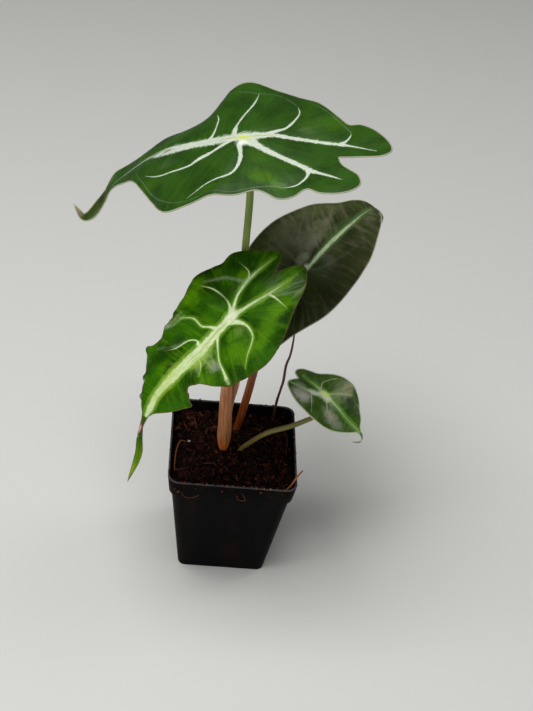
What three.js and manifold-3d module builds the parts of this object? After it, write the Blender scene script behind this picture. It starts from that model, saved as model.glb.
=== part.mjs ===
// Potted venom alocasia: four arrow-shaped leaves on their stalks, rooted in a square nursery pot.
// Millimetres, +Z up. The origin is the middle of the pot's underside, and +Y points to its back.
import * as THREE from "three";
import { mergeVertices } from "three/addons/utils/BufferGeometryUtils.js";
import Module from "manifold-3d";

const wasm = await Module();
wasm.setup();

// Pot: a thin square plastic frustum with a deeper rim band standing proud of it
const POT_HEIGHT = 74;
const POT_TOP = 70;
const POT_BASE = 49;
const POT_WALL = 1;
const POT_FLOOR = 1.4;
const POT_CORNER = 6;
const RIM_BAND = 11.5;
const RIM_STEP = 1.2;
const DRAIN_RADIUS = 3.5;
const DRAIN_OFFSET = 14;
const DRAIN_SIDES = 16;
const CORNER_STEPS = 5;

// Gap that neighbouring pieces keep from each other, and the size below which points are the same
const FIT_GAP = 0.3;
const SAME_POINT = 0.001;

// Soil: its level at the back, its rise to the front edge, and its dip towards the left wall
const SOIL_LEVEL = 67.5;
const SOIL_FRONT_RISE = 2.5;
const SOIL_WALL_DIP = 2;
const SOIL_DIP_START = 20;

// Crumbs of the soil's surface: single crumbs, wider swells, and how finely they are cut
const SOIL_CRUMB = 0.9;
const SOIL_SWELL = 0.45;
const SOIL_SWELL_PITCH = [2.7, 3.2];
const SOIL_CELLS = 26;

// Tuber that the stalks grow from
const TUBER = { centre: [-1, 9, 44], radii: [10, 13, 9], sides: 20, rings: 12 };

// Leaves: blade thickness, the half width at which the droop columns are measured, and the
// waves of the margin, which grow from nothing on the midrib
const BLADE = 0.8;
const DROOP_AT = 40;
const WAVE_PITCH = 4.5;
const WAVE_FULL_AT = 8;

// Side veins: how far they lead forward for each millimetre out, and the least step of their roots
const VEIN_LEAD = 0.4;
const ROOT_CREEP = 0.15;

// Each leaf starts where its stalk meets the blade. Its tip points along the heading, in degrees
// turned from -X towards +Y. Spine rows: distance along the midrib, forward, up, roll in degrees,
// droop of the left margin, droop of the right margin. Edge rows go from the tip to the notch
// between the lobes: distance along the midrib and half width.
const TOP_LEAF = {
  start: [-12.5, 13.9, 257.2],
  heading: 27,
  spine: [
    [-75, -72, 14, 17, 0, 4],
    [-50, -48, 6, 17, 0, 4],
    [-25, -25, 2, 17, 0, 5],
    [0, 0, 0, 17, -1, 5],
    [20, 18, -9, 17, 1, 6],
    [40, 35.5, -18.5, 17, 14, 9],
    [60, 51, -31, 17, 36, 10],
    [80, 65, -45, 17, 30, 10],
    [92, 72, -54, 30, 0, 0],
    [104, 77, -64, 50, 0, 0],
    [116, 83, -75, 70, 0, 0],
    [123, 88, -79, 60, 0, 0],
    [128, 92, -76, 40, 0, 0],
    [133, 95, -73, 30, 0, 0],
  ],
  left: [
    [133, 0], [128, 1.2], [122, 2.2], [112, 3], [100, 3.2], [90, 4], [82, 7], [73, 12], [64, 17],
    [55, 22], [46, 27], [38, 34], [31, 41], [22, 44], [12, 41], [2, 37], [-12, 33], [-27, 31],
    [-38, 27], [-45, 22], [-53, 22], [-63, 18], [-71, 12], [-74, 6], [-69, 2], [-58, 1], [-50, 0],
  ],
  right: [
    [133, 0], [128, 1.2], [122, 2.2], [112, 3], [100, 3.2], [91, 4], [82, 6], [73, 9], [64, 15],
    [56, 22], [49, 29], [42, 36], [35, 41], [26, 40], [14, 38], [2, 37], [-11, 34], [-20, 29],
    [-30, 30], [-37, 27], [-42, 22], [-50, 24], [-59, 22], [-66, 17], [-63, 10], [-54, 5], [-50, 0],
  ],
  wave: 0.8,
  columns: 5,
};

const MIDDLE_LEAF = {
  start: [-11, -24, 179],
  heading: -32,
  spine: [
    [-45, -34, 29.5, 12, 3, 3],
    [-22, -17, 14.5, 12, 4, 4],
    [0, 0, 0, 12, 5, 5],
    [20, 15.5, -12.5, 12, 6, 6],
    [40, 31, -26, 12, 8, 8],
    [52, 38, -36, 12, 8, 8],
    [62, 43, -44.5, 12, 6, 6],
    [70, 46, -52, 30, 0, 0],
    [80, 48.5, -61, 60, 0, 0],
    [90, 49, -71, 50, 0, 0],
    [100, 50.5, -81, 20, 0, 0],
    [110, 52.5, -90.5, 10, 0, 0],
  ],
  left: [
    [110, 0], [104, 1], [96, 1.6], [86, 1.3], [76, 1.5], [68.5, 2.5], [65, 6], [61, 9], [56, 12],
    [51, 16], [46, 21], [42, 23.5], [38, 20], [33, 19.5], [29, 23], [24, 25], [18, 27], [10, 29],
    [1, 32], [-6, 31], [-14, 27], [-21, 26], [-28, 20], [-35, 12], [-39, 6], [-36, 3], [-29, 0],
  ],
  right: [
    [110, 0], [104, 1], [96, 1.6], [86, 1.3], [76, 1.5], [69, 1.8], [66, 3], [64, 6], [58, 11],
    [52, 15.5], [47, 18.5], [43.5, 15], [40, 11], [36, 13], [32, 18], [28, 22.5], [25, 25], [20, 27],
    [13, 29.5], [4, 31], [-5, 29], [-14, 26], [-25, 21], [-36, 16], [-42, 10], [-38, 4], [-29, 0],
  ],
  wave: 0.8,
  columns: 5,
};

const BACK_LEAF = {
  start: [27.8, 34, 169.9],
  heading: 130,
  spine: [
    [-50, -44, -23, -14, 4, 4],
    [-25, -22, -12, -14, 4, 4],
    [0, 0, 0, -14, 5, 5],
    [15, 13, 7.5, -14, 5, 5],
    [30, 27.3, 11.1, -14, 5, 5],
    [45, 42, 14.3, -14, 6, 6],
    [59, 55.5, 15.2, -14, 6, 6],
    [68, 64, 12, -10, 0, 0],
    [78, 71, 5, 0, 0, 0],
    [86, 75, -2, 10, 0, 0],
  ],
  left: [
    [86, 0], [78, 1.2], [71, 2], [64, 3], [58, 6.5], [50, 11], [41, 15], [31, 19.5], [20, 23],
    [9, 25], [-2, 25], [-12, 23.5], [-23, 20.5], [-34, 17.5], [-43, 15], [-47, 10], [-39, 3.5],
    [-28, 0],
  ],
  right: [
    [86, 0], [78, 1.2], [71, 2], [64, 5], [58, 10], [50, 16], [41, 22], [31, 28], [20, 32],
    [9, 34.5], [-2, 34.5], [-14, 31.5], [-25, 26], [-33, 20], [-39, 14], [-40, 8], [-35, 3.5],
    [-28, 0],
  ],
  wave: 0.6,
  columns: 4,
};

const SMALL_LEAF = {
  start: [44.2, -4.5, 118.2],
  heading: 200,
  spine: [
    [-22, -21, 7.5, -18, 3, 3],
    [-11, -10.5, 3, -18, 5, 5],
    [0, 0, 0, -18, 7, 7],
    [9, 7.5, -5, -18, 9, 9],
    [18, 14, -11, -18, 12, 12],
    [26, 20.5, -16, -18, 10, 10],
    [31, 24, -19.5, -10, 0, 0],
    [35, 25, -23.5, 0, 0, 0],
    [38, 23, -25.7, 0, 0, 0],
    [41, 20, -26, 0, 0, 0],
  ],
  left: [
    [41, 0], [38, 0.7], [35, 0.9], [31, 1.2], [28, 2.5], [25, 6], [21, 9.5], [16, 12.5], [9, 15],
    [1, 16], [-6, 14.5], [-12, 12], [-17, 9.5], [-21, 6.5], [-21.5, 4], [-19, 2], [-17, 0],
  ],
  right: [
    [41, 0], [38, 0.7], [35, 0.9], [31, 1.2], [28, 3.5], [25, 8], [21, 13], [16, 17], [10, 19],
    [3, 17.5], [-3, 14], [-8, 11], [-13, 9.5], [-18, 7], [-21, 3.5], [-20, 1.5], [-17, 0],
  ],
  wave: 0.4,
  columns: 4,
};

// Stalks: routes from the tuber up, as x, y, z and radius. The last stretch of a leaf stalk
// is added from its leaf.
const TOP_STALK = [
  [-1.6, 5, 48, 2.3], [-1.6, 4, 65, 2.3], [-1.5, 4.8, 90, 2.2], [-1.7, 5.6, 115, 2.1],
  [-4, 6.5, 153, 2], [-6.2, 10.5, 193, 1.9], [-7.2, 13.6, 226, 1.8],
];
const MIDDLE_STALK = [
  [-4.5, 4.5, 48, 3.6], [-5, 3, 65, 4], [-6, 2, 85, 3.8], [-7.6, -0.5, 110, 3],
  [-8.9, -8, 138, 2.3], [-9, -15, 158, 2],
];
const BACK_STALK = [
  [2.8, 15, 48, 2.8], [3.3, 18.5, 66, 2.7], [5.8, 20.5, 92, 2.2], [9.6, 23.5, 118, 2],
  [16.8, 28.5, 140, 1.8], [24.5, 34, 155, 1.7],
];
const SMALL_STALK = [
  [3, 4, 48, 1.8], [3, 1.6, 66, 1.8], [9.2, 1, 74.6, 1.7], [18, 0, 84.9, 1.6],
  [29.2, -1.5, 92.6, 1.5], [38.2, -1.8, 99.5, 1.4],
];
const DRY_STALK = [
  [23, 29, 56, 0.9], [23.2, 29.5, 68, 0.9], [23.6, 30, 81, 0.9], [25.2, 31, 95, 0.9],
  [26, 32, 106, 0.85], [26.7, 33.5, 118, 0.8], [27.2, 35, 129, 0.6],
];
const STALK_SIDES = 10;
const STALK_STEP = 6;
const STALK_NECK = 7;

// Colour and roughness of each piece
const LOOKS = {
  pot: [0x15161a, 0.5],
  soil: [0x2c1a12, 0.95],
  tuber: [0x6b4a33, 0.8],
  top_stalk: [0x66704a, 0.5],
  middle_stalk: [0x96735a, 0.5],
  back_stalk: [0x784b28, 0.5],
  small_stalk: [0x6e7040, 0.5],
  dry_stalk: [0x4a2a22, 0.7],
  top_leaf: [0x26532a, 0.4],
  middle_leaf: [0x4a7d10, 0.4],
  back_leaf: [0x2e3a28, 0.45],
  small_leaf: [0x2d5a2a, 0.35],
};

// A smooth table: each column is a curve through its rows, read at a distance along the first
function readTable(table, at) {
  const last = table.length - 1;
  const inside = Math.min(Math.max(at, table[0][0]), table[last][0]);
  let row = 0;
  while (row < last - 1 && table[row + 1][0] < inside) row += 1;
  const slope = (index, column) => {
    const low = table[Math.max(index - 1, 0)];
    const high = table[Math.min(index + 1, last)];
    return (high[column] - low[column]) / (high[0] - low[0]);
  };
  const [from, to] = [table[row], table[row + 1]];
  const span = to[0] - from[0];
  const k = (inside - from[0]) / span;
  return from.map((start, column) => {
    const value = start * (2 * k ** 3 - 3 * k ** 2 + 1) + to[column] * (3 * k ** 2 - 2 * k ** 3)
      + slope(row, column) * span * (k ** 3 - 2 * k ** 2 + k)
      + slope(row + 1, column) * span * (k ** 3 - k ** 2);
    const beyond = slope(at < inside ? 0 : last, column) * (at - inside);
    return value + beyond;
  });
}

// Points of a curve through a list of 2D points, the same number on every stretch
function edgePoints(list, perStretch) {
  const curve = new THREE.SplineCurve(list.map(([s, v]) => new THREE.Vector2(s, v)));
  return curve.getPoints((list.length - 1) * perStretch);
}

// Midrib point and the directions along, across and out of the blade at one distance
function bladeFrame(leaf, s) {
  const turn = THREE.MathUtils.degToRad(leaf.heading);
  const forward = new THREE.Vector3(-Math.cos(turn), Math.sin(turn), 0);
  const up = new THREE.Vector3(0, 0, 1);
  const row = readTable(leaf.spine, s);
  const before = readTable(leaf.spine, s - 0.5);
  const after = readTable(leaf.spine, s + 0.5);
  const point = new THREE.Vector3(...leaf.start)
    .addScaledVector(forward, row[1])
    .addScaledVector(up, row[2]);
  const along = new THREE.Vector3().addScaledVector(forward, after[1] - before[1])
    .addScaledVector(up, after[2] - before[2]).normalize();
  const level = new THREE.Vector3().crossVectors(up, forward);
  const roll = THREE.MathUtils.degToRad(row[3]);
  const lift = new THREE.Vector3().crossVectors(along, level);
  const across = level.multiplyScalar(Math.cos(roll)).addScaledVector(lift, -Math.sin(roll));
  const out = new THREE.Vector3().crossVectors(along, across);
  return { point, along, across, out, droop: [row[4], row[5]] };
}

// A point of the blade's middle surface: s along the midrib, v across it, t from rib to margin
function bladePoint(leaf, s, v, t) {
  const { point, across, out, droop } = bladeFrame(leaf, s);
  const drop = (v < 0 ? droop[0] : droop[1]) * (v / DROOP_AT) ** 2;
  const grown = t ** 3 * Math.min(1, Math.abs(v) / WAVE_FULL_AT);
  const wave = leaf.wave * grown * Math.sin(s / WAVE_PITCH + (v < 0 ? 1 : 0));
  return point.addScaledVector(across, v).addScaledVector(out, wave - drop);
}

// The blade's middle surface: a grid whose rows run from the midrib out along the side veins
function bladeSheet(leaf) {
  const left = edgePoints(leaf.left, 2);
  const right = edgePoints(leaf.right, 2);
  const rows = left.length - 1;
  const columns = leaf.columns;
  const sheet = new THREE.PlaneGeometry(1, 1, 2 * columns, rows);
  const place = sheet.getAttribute("position");
  let root = 0;
  for (let i = 0; i <= rows; i += 1) {
    const lead = (edge) => edge.x - VEIN_LEAD * Math.abs(edge.y);
    const wanted = (lead(left[i]) + lead(right[i])) / 2;
    root = i === 0 ? wanted : Math.min(root - ROOT_CREEP, Math.max(wanted, 0));
    for (let j = -columns; j <= columns; j += 1) {
      const edge = j < 0 ? left[i] : right[i];
      const t = Math.abs(j) / columns;
      const s = root + (edge.x - root) * t;
      const v = Math.sign(j) * edge.y * t;
      const at = bladePoint(leaf, s, v, t);
      place.setXYZ(i * (2 * columns + 1) + j + columns, at.x, at.y, at.z);
    }
  }
  return welded(sheet);
}

// Shared vertices only, with the triangles that have shrunk to nothing left out
function welded(geometry) {
  const bare = geometry.clone();
  bare.deleteAttribute("normal");
  bare.deleteAttribute("uv");
  const merged = mergeVertices(bare, SAME_POINT);
  const index = Array.from(merged.getIndex().array);
  const kept = [];
  for (let i = 0; i < index.length; i += 3) {
    const [a, b, c] = index.slice(i, i + 3);
    if (a !== b && b !== c && a !== c) kept.push(a, b, c);
  }
  merged.setIndex(kept);
  return merged;
}

// Both faces and the margin of a blade, split into the same triangles above and below
function bladeSolid(leaf, thickness) {
  const sheet = bladeSheet(leaf);
  sheet.computeVertexNormals();
  const place = sheet.getAttribute("position");
  const normal = sheet.getAttribute("normal");
  const count = place.count;
  const points = [];
  for (const side of [0.5, -0.5]) {
    for (let i = 0; i < count; i += 1) {
      points.push(place.getX(i) + side * thickness * normal.getX(i));
      points.push(place.getY(i) + side * thickness * normal.getY(i));
      points.push(place.getZ(i) + side * thickness * normal.getZ(i));
    }
  }
  const index = Array.from(sheet.getIndex().array);
  const triangles = [];
  const edges = new Map();
  for (let i = 0; i < index.length; i += 3) {
    const [a, b, c] = index.slice(i, i + 3);
    triangles.push(a, b, c, count + a, count + c, count + b);
    for (const [p, q] of [[a, b], [b, c], [c, a]]) {
      if (!edges.delete(`${q} ${p}`)) edges.set(`${p} ${q}`, [p, q]);
    }
  }
  for (const [p, q] of edges.values()) triangles.push(q, p, count + p, q, count + p, count + q);
  const solid = new THREE.BufferGeometry();
  solid.setAttribute("position", new THREE.Float32BufferAttribute(points, 3));
  solid.setIndex(triangles);
  return solid;
}

// The stalk's route, carried on to the underside of its leaf and ending square to it
function stalkRoute(points, leaf) {
  if (!leaf) return points;
  const { point, out } = bladeFrame(leaf, 0);
  const tip = points[points.length - 1][3];
  const end = point.clone().addScaledVector(out, -(BLADE / 2 + FIT_GAP));
  const neck = point.clone().addScaledVector(out, -STALK_NECK);
  return [...points, [...neck.toArray(), tip], [...end.toArray(), tip]];
}

// A round stalk: a closed cylinder bent along its route, thicker or thinner as the route says
function stalkSolid(route, sides, extra) {
  const curve = new THREE.CatmullRomCurve3(route.map(([x, y, z]) => new THREE.Vector3(x, y, z)));
  const steps = Math.ceil(curve.getLength() / STALK_STEP);
  const frames = curve.computeFrenetFrames(steps);
  const solid = new THREE.CylinderGeometry(1, 1, 1, sides, steps);
  const place = solid.getAttribute("position");
  for (let i = 0; i < place.count; i += 1) {
    const step = Math.round((place.getY(i) + 0.5) * steps);
    const t = curve.getUtoTmapping(step / steps) * (route.length - 1);
    const low = Math.min(Math.floor(t), route.length - 2);
    const radius = THREE.MathUtils.lerp(route[low][3], route[low + 1][3], t - low) + extra;
    const at = curve.getPointAt(step / steps)
      .addScaledVector(frames.normals[step], place.getX(i) * radius)
      .addScaledVector(frames.binormals[step], -place.getZ(i) * radius);
    place.setXYZ(i, at.x, at.y, at.z);
  }
  return solid;
}

// Between three.js geometry and solids that can be joined and cut
function toSolid(geometry) {
  const mesh = welded(geometry);
  return new wasm.Manifold(new wasm.Mesh({
    numProp: 3,
    vertProperties: new Float32Array(mesh.getAttribute("position").array),
    triVerts: new Uint32Array(mesh.getIndex().array),
  }));
}

function toGeometry(solid) {
  const mesh = solid.getMesh();
  const geometry = new THREE.BufferGeometry();
  geometry.setAttribute("position", new THREE.BufferAttribute(mesh.vertProperties, 3));
  geometry.setIndex(new THREE.BufferAttribute(mesh.triVerts, 1));
  return geometry;
}

// A square block with rounded corners that widens from its lower to its upper half width
function squareBlock(lowHalf, highHalf, low, high, corner) {
  const shape = new THREE.Shape();
  const flat = 1 - corner / highHalf;
  const turn = corner / highHalf;
  shape.moveTo(1, -flat);
  shape.absarc(flat, flat, turn, 0, Math.PI / 2);
  shape.absarc(-flat, flat, turn, Math.PI / 2, Math.PI);
  shape.absarc(-flat, -flat, turn, Math.PI, Math.PI * 1.5);
  shape.absarc(flat, -flat, turn, Math.PI * 1.5, Math.PI * 2);
  const block = new THREE.ExtrudeGeometry(shape, {
    depth: 1,
    bevelEnabled: false,
    curveSegments: CORNER_STEPS,
  });
  const place = block.getAttribute("position");
  for (let i = 0; i < place.count; i += 1) {
    const k = place.getZ(i);
    const half = THREE.MathUtils.lerp(lowHalf, highHalf, k);
    place.setXYZ(i, place.getX(i) * half, place.getY(i) * half, THREE.MathUtils.lerp(low, high, k));
  }
  return toSolid(block);
}

// Half widths of the pot's body and rim, as the pot widens upwards
const RIM_LOW = POT_HEIGHT - RIM_BAND;
const WIDENING = (POT_TOP / 2 - RIM_STEP - POT_BASE / 2) / POT_HEIGHT;
const bodyHalf = (z) => POT_BASE / 2 + WIDENING * z;
const rimHalf = (z) => bodyHalf(z) + RIM_STEP;

// The room inside the pot, shrunk by a clearance, up to a height
function potRoom(clearance, top) {
  const inset = POT_WALL + clearance;
  const corner = POT_CORNER - inset;
  const low = POT_FLOOR + clearance;
  const shelf = RIM_LOW + inset;
  const join = shelf + POT_WALL;
  const lower = squareBlock(bodyHalf(low) - inset, bodyHalf(join) - inset, low, join, corner);
  const upper = squareBlock(rimHalf(shelf) - inset, rimHalf(top) - inset, shelf, top, corner);
  return lower.add(upper);
}

function makePot() {
  const join = RIM_LOW + POT_WALL;
  const body = squareBlock(bodyHalf(0), bodyHalf(join), 0, join, POT_CORNER);
  const rim = squareBlock(rimHalf(RIM_LOW), rimHalf(POT_HEIGHT), RIM_LOW, POT_HEIGHT, POT_CORNER);
  let pot = body.add(rim).subtract(potRoom(0, POT_HEIGHT + POT_WALL));
  for (const x of [-DRAIN_OFFSET, DRAIN_OFFSET]) {
    for (const y of [-DRAIN_OFFSET, DRAIN_OFFSET]) {
      const drain = new THREE.CylinderGeometry(DRAIN_RADIUS, DRAIN_RADIUS, 4 * POT_FLOOR, DRAIN_SIDES);
      drain.rotateX(Math.PI / 2).translate(x, y, 0);
      pot = pot.subtract(toSolid(drain));
    }
  }
  return toGeometry(pot);
}

// A repeatable scatter of values from -1 to 1, one for each place
function scatter(x, y) {
  const wave = Math.sin(x * 12.99 + y * 78.23) * 43758.5;
  return 2 * (wave - Math.floor(wave)) - 1;
}

// Height of the soil: higher at the front, sunk along the left wall, crumbly all over
function soilHeight(x, y) {
  const half = POT_TOP / 2 - POT_WALL;
  const front = Math.max(0, -y / half);
  const wall = Math.max(0, (-x - SOIL_DIP_START) / (half - SOIL_DIP_START));
  const swell = Math.sin(x / SOIL_SWELL_PITCH[0] + 2) * Math.sin(y / SOIL_SWELL_PITCH[1] + 1);
  return SOIL_LEVEL + SOIL_FRONT_RISE * front - SOIL_WALL_DIP * wall
    + SOIL_CRUMB * scatter(x, y) + SOIL_SWELL * swell;
}

// The soil fills the pot below a crumbly surface, with a hole for each piece that stands in it
function makeSoil(buried) {
  const size = POT_TOP + 2 * POT_CORNER;
  const high = POT_HEIGHT + POT_CORNER;
  const air = new THREE.BoxGeometry(size, size, 1, SOIL_CELLS, SOIL_CELLS, 1);
  const place = air.getAttribute("position");
  for (let i = 0; i < place.count; i += 1) {
    const [x, y] = [place.getX(i), place.getY(i)];
    place.setZ(i, place.getZ(i) < 0 ? soilHeight(x, y) : high);
  }
  let soil = potRoom(FIT_GAP, POT_HEIGHT).subtract(toSolid(air));
  for (const piece of buried) soil = soil.subtract(piece);
  return toGeometry(soil);
}

// The tuber, optionally larger all round
function tuberSolid(extra) {
  const ball = new THREE.SphereGeometry(1, TUBER.sides, TUBER.rings);
  ball.scale(...TUBER.radii.map((radius) => radius + extra));
  ball.rotateX(Math.PI / 2).translate(...TUBER.centre);
  return toSolid(ball);
}

const plant = new THREE.Group();

function addPiece(name, geometry) {
  const [color, roughness] = LOOKS[name];
  const material = new THREE.MeshStandardMaterial({ color, roughness, metalness: 0 });
  const mesh = new THREE.Mesh(geometry, material);
  mesh.name = name;
  plant.add(mesh);
}

const routes = {
  top_stalk: stalkRoute(TOP_STALK, TOP_LEAF),
  middle_stalk: stalkRoute(MIDDLE_STALK, MIDDLE_LEAF),
  back_stalk: stalkRoute(BACK_STALK, BACK_LEAF),
  small_stalk: stalkRoute(SMALL_STALK, SMALL_LEAF),
  dry_stalk: stalkRoute(DRY_STALK, null),
};

const tuberRoom = tuberSolid(FIT_GAP);
const holes = Object.values(routes).map((route) => toSolid(stalkSolid(route, STALK_SIDES, FIT_GAP)));

addPiece("pot", makePot());
addPiece("soil", makeSoil([...holes, tuberRoom]));
addPiece("tuber", toGeometry(tuberSolid(0)));

// Each stalk stands on the tuber, and a stalk sheathed by another leaves a groove in it
Object.entries(routes).forEach(([name, route], i) => {
  let stalk = toSolid(stalkSolid(route, STALK_SIDES, 0)).subtract(tuberRoom);
  for (const hole of holes.slice(0, i)) stalk = stalk.subtract(hole);
  addPiece(name, toGeometry(stalk));
});

addPiece("top_leaf", bladeSolid(TOP_LEAF, BLADE));
addPiece("middle_leaf", bladeSolid(MIDDLE_LEAF, BLADE));
addPiece("back_leaf", bladeSolid(BACK_LEAF, BLADE));
addPiece("small_leaf", bladeSolid(SMALL_LEAF, BLADE));

export default plant;
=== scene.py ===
# %% [markdown]
# # A young aroid in its nursery pot
# This lesson dresses a plant whose solids are already built: four arrow-shaped leaves with pale
# veins, on slender stalks, rooted in coir in a small square pot. The solids are loaded as a
# fixed frame in metres, so that each piece is made in its place. Each step first says what the
# real thing is, then how it is made here.

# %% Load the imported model
import math

import bpy
import numpy as np
from mathutils import Matrix, Vector


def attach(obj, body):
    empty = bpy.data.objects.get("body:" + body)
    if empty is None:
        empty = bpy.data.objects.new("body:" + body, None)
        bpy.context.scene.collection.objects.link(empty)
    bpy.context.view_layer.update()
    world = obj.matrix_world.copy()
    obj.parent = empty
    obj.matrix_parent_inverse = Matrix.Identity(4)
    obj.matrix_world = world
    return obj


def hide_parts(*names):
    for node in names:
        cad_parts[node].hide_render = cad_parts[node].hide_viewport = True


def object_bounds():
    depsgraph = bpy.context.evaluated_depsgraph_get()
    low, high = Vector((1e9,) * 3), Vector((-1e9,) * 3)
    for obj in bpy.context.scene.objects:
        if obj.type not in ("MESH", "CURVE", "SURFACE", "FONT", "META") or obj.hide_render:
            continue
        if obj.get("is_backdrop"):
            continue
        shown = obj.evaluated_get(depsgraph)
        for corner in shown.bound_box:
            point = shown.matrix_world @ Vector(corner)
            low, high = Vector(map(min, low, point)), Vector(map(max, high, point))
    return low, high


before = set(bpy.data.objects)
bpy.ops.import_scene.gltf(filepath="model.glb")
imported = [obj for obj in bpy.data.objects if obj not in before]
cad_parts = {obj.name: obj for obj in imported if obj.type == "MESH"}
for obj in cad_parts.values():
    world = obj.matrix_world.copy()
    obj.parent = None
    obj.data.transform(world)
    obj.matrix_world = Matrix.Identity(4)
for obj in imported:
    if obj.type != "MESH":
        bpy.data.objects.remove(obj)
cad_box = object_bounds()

MM = 0.001
print("nodes:", ", ".join(sorted(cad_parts)))

# %% [markdown]
# ## Camera
# The photographer stood in front of the plant and looked down on it at about 38 degrees, with
# the camera a little tilted. The long lens keeps the pot's sides nearly parallel. The tilt is
# made as three turns one after the other: towards the plant, down, and round the view axis.

# %% Camera
CAMERA_AT = (-44.5, -543.5, 564.1)
CAMERA_TURN = math.radians(-5.84)
CAMERA_PITCH = math.radians(52.01)
CAMERA_TILT = math.radians(8.41)
CAMERA_LENS = 66.84

camera_data = bpy.data.cameras.new("camera")
camera_data.lens = CAMERA_LENS
camera_data.clip_start = 0.01
camera = bpy.data.objects.new("camera", camera_data)
turns = (
    Matrix.Rotation(CAMERA_TURN, 4, "Z")
    @ Matrix.Rotation(CAMERA_PITCH, 4, "X")
    @ Matrix.Rotation(CAMERA_TILT, 4, "Z")
)
camera.matrix_world = Matrix.Translation([value * MM for value in CAMERA_AT]) @ turns
bpy.context.scene.collection.objects.link(camera)
bpy.context.scene.camera = camera
print("camera at", CAMERA_AT, "mm, lens", CAMERA_LENS, "mm")

# %% [markdown]
# ## Material kit
# Every finish here is worked out from a few patterns. A small class wraps a node's output, so
# that sums of patterns can be written as plain sums, and one method adds any other node.

# %% Signals
class Signal:
    """The output of a node. Sums and products of signals add Math nodes."""

    def __init__(self, finish, socket):
        self.finish = finish
        self.socket = socket

    def math(self, operation, *terms):
        return self.finish.node("ShaderNodeMath", {"operation": operation}, terms)

    def __add__(self, other):
        return self.math("ADD", self, other)

    def __radd__(self, other):
        return self.math("ADD", other, self)

    def __sub__(self, other):
        return self.math("SUBTRACT", self, other)

    def __rsub__(self, other):
        return self.math("SUBTRACT", other, self)

    def __mul__(self, other):
        return self.math("MULTIPLY", self, other)

    def __rmul__(self, other):
        return self.math("MULTIPLY", other, self)

    def __abs__(self):
        return self.math("ABSOLUTE", self)

    def least(self, other):
        return self.math("MINIMUM", self, other)

    def most(self, other):
        return self.math("MAXIMUM", self, other)

    def fade(self, start, end):
        """0 up to start, 1 from end on, and smooth between. Start may be the larger one."""
        settings = {"interpolation_type": "SMOOTHSTEP"}
        inputs = {"Value": self, "From Min": start, "From Max": end}
        return self.finish.node("ShaderNodeMapRange", settings, inputs)


# %% Finishes
class Finish:
    """A material with one Principled shader. Arguments are constants for its sockets."""

    def __init__(self, name, constants):
        self.material = bpy.data.materials.new(name)
        self.material.use_nodes = True
        self.tree = self.material.node_tree
        self.shader = self.tree.nodes["Principled BSDF"]
        for socket, value in constants.items():
            self.shader.inputs[socket].default_value = value

    def feed(self, socket, value):
        if isinstance(value, Signal):
            self.tree.links.new(value.socket, socket)
        else:
            socket.default_value = value

    def node(self, kind, settings=None, inputs=None, output=0):
        """Any node: its settings first, then the values or links of its sockets."""
        made = self.tree.nodes.new(kind)
        for name, value in (settings or {}).items():
            setattr(made, name, value)
        pairs = inputs.items() if isinstance(inputs, dict) else enumerate(inputs or ())
        for key, value in pairs:
            self.feed(made.inputs[key], value)
        return Signal(self, made.outputs[output])

    def attribute(self, name, output="Vector"):
        return self.node("ShaderNodeAttribute", {"attribute_name": name}, None, output)

    def place(self):
        """The place on the piece, in millimetres."""
        metres = self.node("ShaderNodeTexCoord", None, None, "Object")
        return self.stretch(metres, (1000, 1000, 1000))

    def stretch(self, vector, factors):
        return self.node("ShaderNodeVectorMath", {"operation": "MULTIPLY"}, (vector, factors))

    def shift(self, vector, offset):
        return self.node("ShaderNodeVectorMath", {"operation": "ADD"}, (vector, offset))

    def parts(self, vector):
        split = self.node("ShaderNodeSeparateXYZ", None, (vector,))
        sockets = split.socket.node.outputs
        return [Signal(self, socket) for socket in sockets]

    def noise(self, vector, size, detail=2.0, rough=0.5):
        """Cloudy noise around 0.5, with patches of about this size."""
        inputs = {"Vector": vector, "Scale": 1 / size, "Detail": detail, "Roughness": rough}
        return self.node("ShaderNodeTexNoise", None, inputs)

    def noise_vector(self, vector, size):
        """Cloudy noise with a value of its own for each axis."""
        inputs = {"Vector": vector, "Scale": 1 / size, "Detail": 1.0}
        return self.node("ShaderNodeTexNoise", None, inputs, 1)

    def cells(self, vector, size, feature="F1"):
        """Distance to the nearest of many scattered points."""
        inputs = {"Vector": vector, "Scale": 1 / size}
        return self.node("ShaderNodeTexVoronoi", {"feature": feature}, inputs)

    def mix(self, first, second, share):
        sockets = {0: share, 6: first, 7: second}
        return self.node("ShaderNodeMix", {"data_type": "RGBA"}, sockets, 2)

    def paint(self, tint, *coats):
        """Lays coats over a tint, one after the other. A coat is its colour and its share."""
        for shade, share in coats:
            tint = self.mix(tint, shade, share)
        return tint

    def bump(self, height, depth, strength=1.0):
        """Relief of a height signal. The depth is in millimetres."""
        inputs = {"Height": height, "Distance": depth * MM, "Strength": strength}
        self.dress({"Normal": self.node("ShaderNodeBump", None, inputs)})

    def dress(self, inputs):
        for socket, value in inputs.items():
            self.feed(self.shader.inputs[socket], value)


# %% Colours
def colour(red, green, blue):
    """A colour as a screen shows it, from 0 to 255, as the linear values that a shader takes."""
    share = np.array((red, green, blue)) / 255
    linear = np.where(share <= 0.04045, share / 12.92, ((share + 0.055) / 1.055) ** 2.4)
    return (*linear.tolist(), 1.0)


print("white is", colour(255, 255, 255))

# %% [markdown]
# ## Floor and light
# The plant stands on a plain pale floor under soft studio light: one large lamp above it, which
# lays a sheen on the leaves, a low one at the front left that reaches the stalks under them, a
# weak one at the back right, and an even glow all round that opens the shadows.

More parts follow.
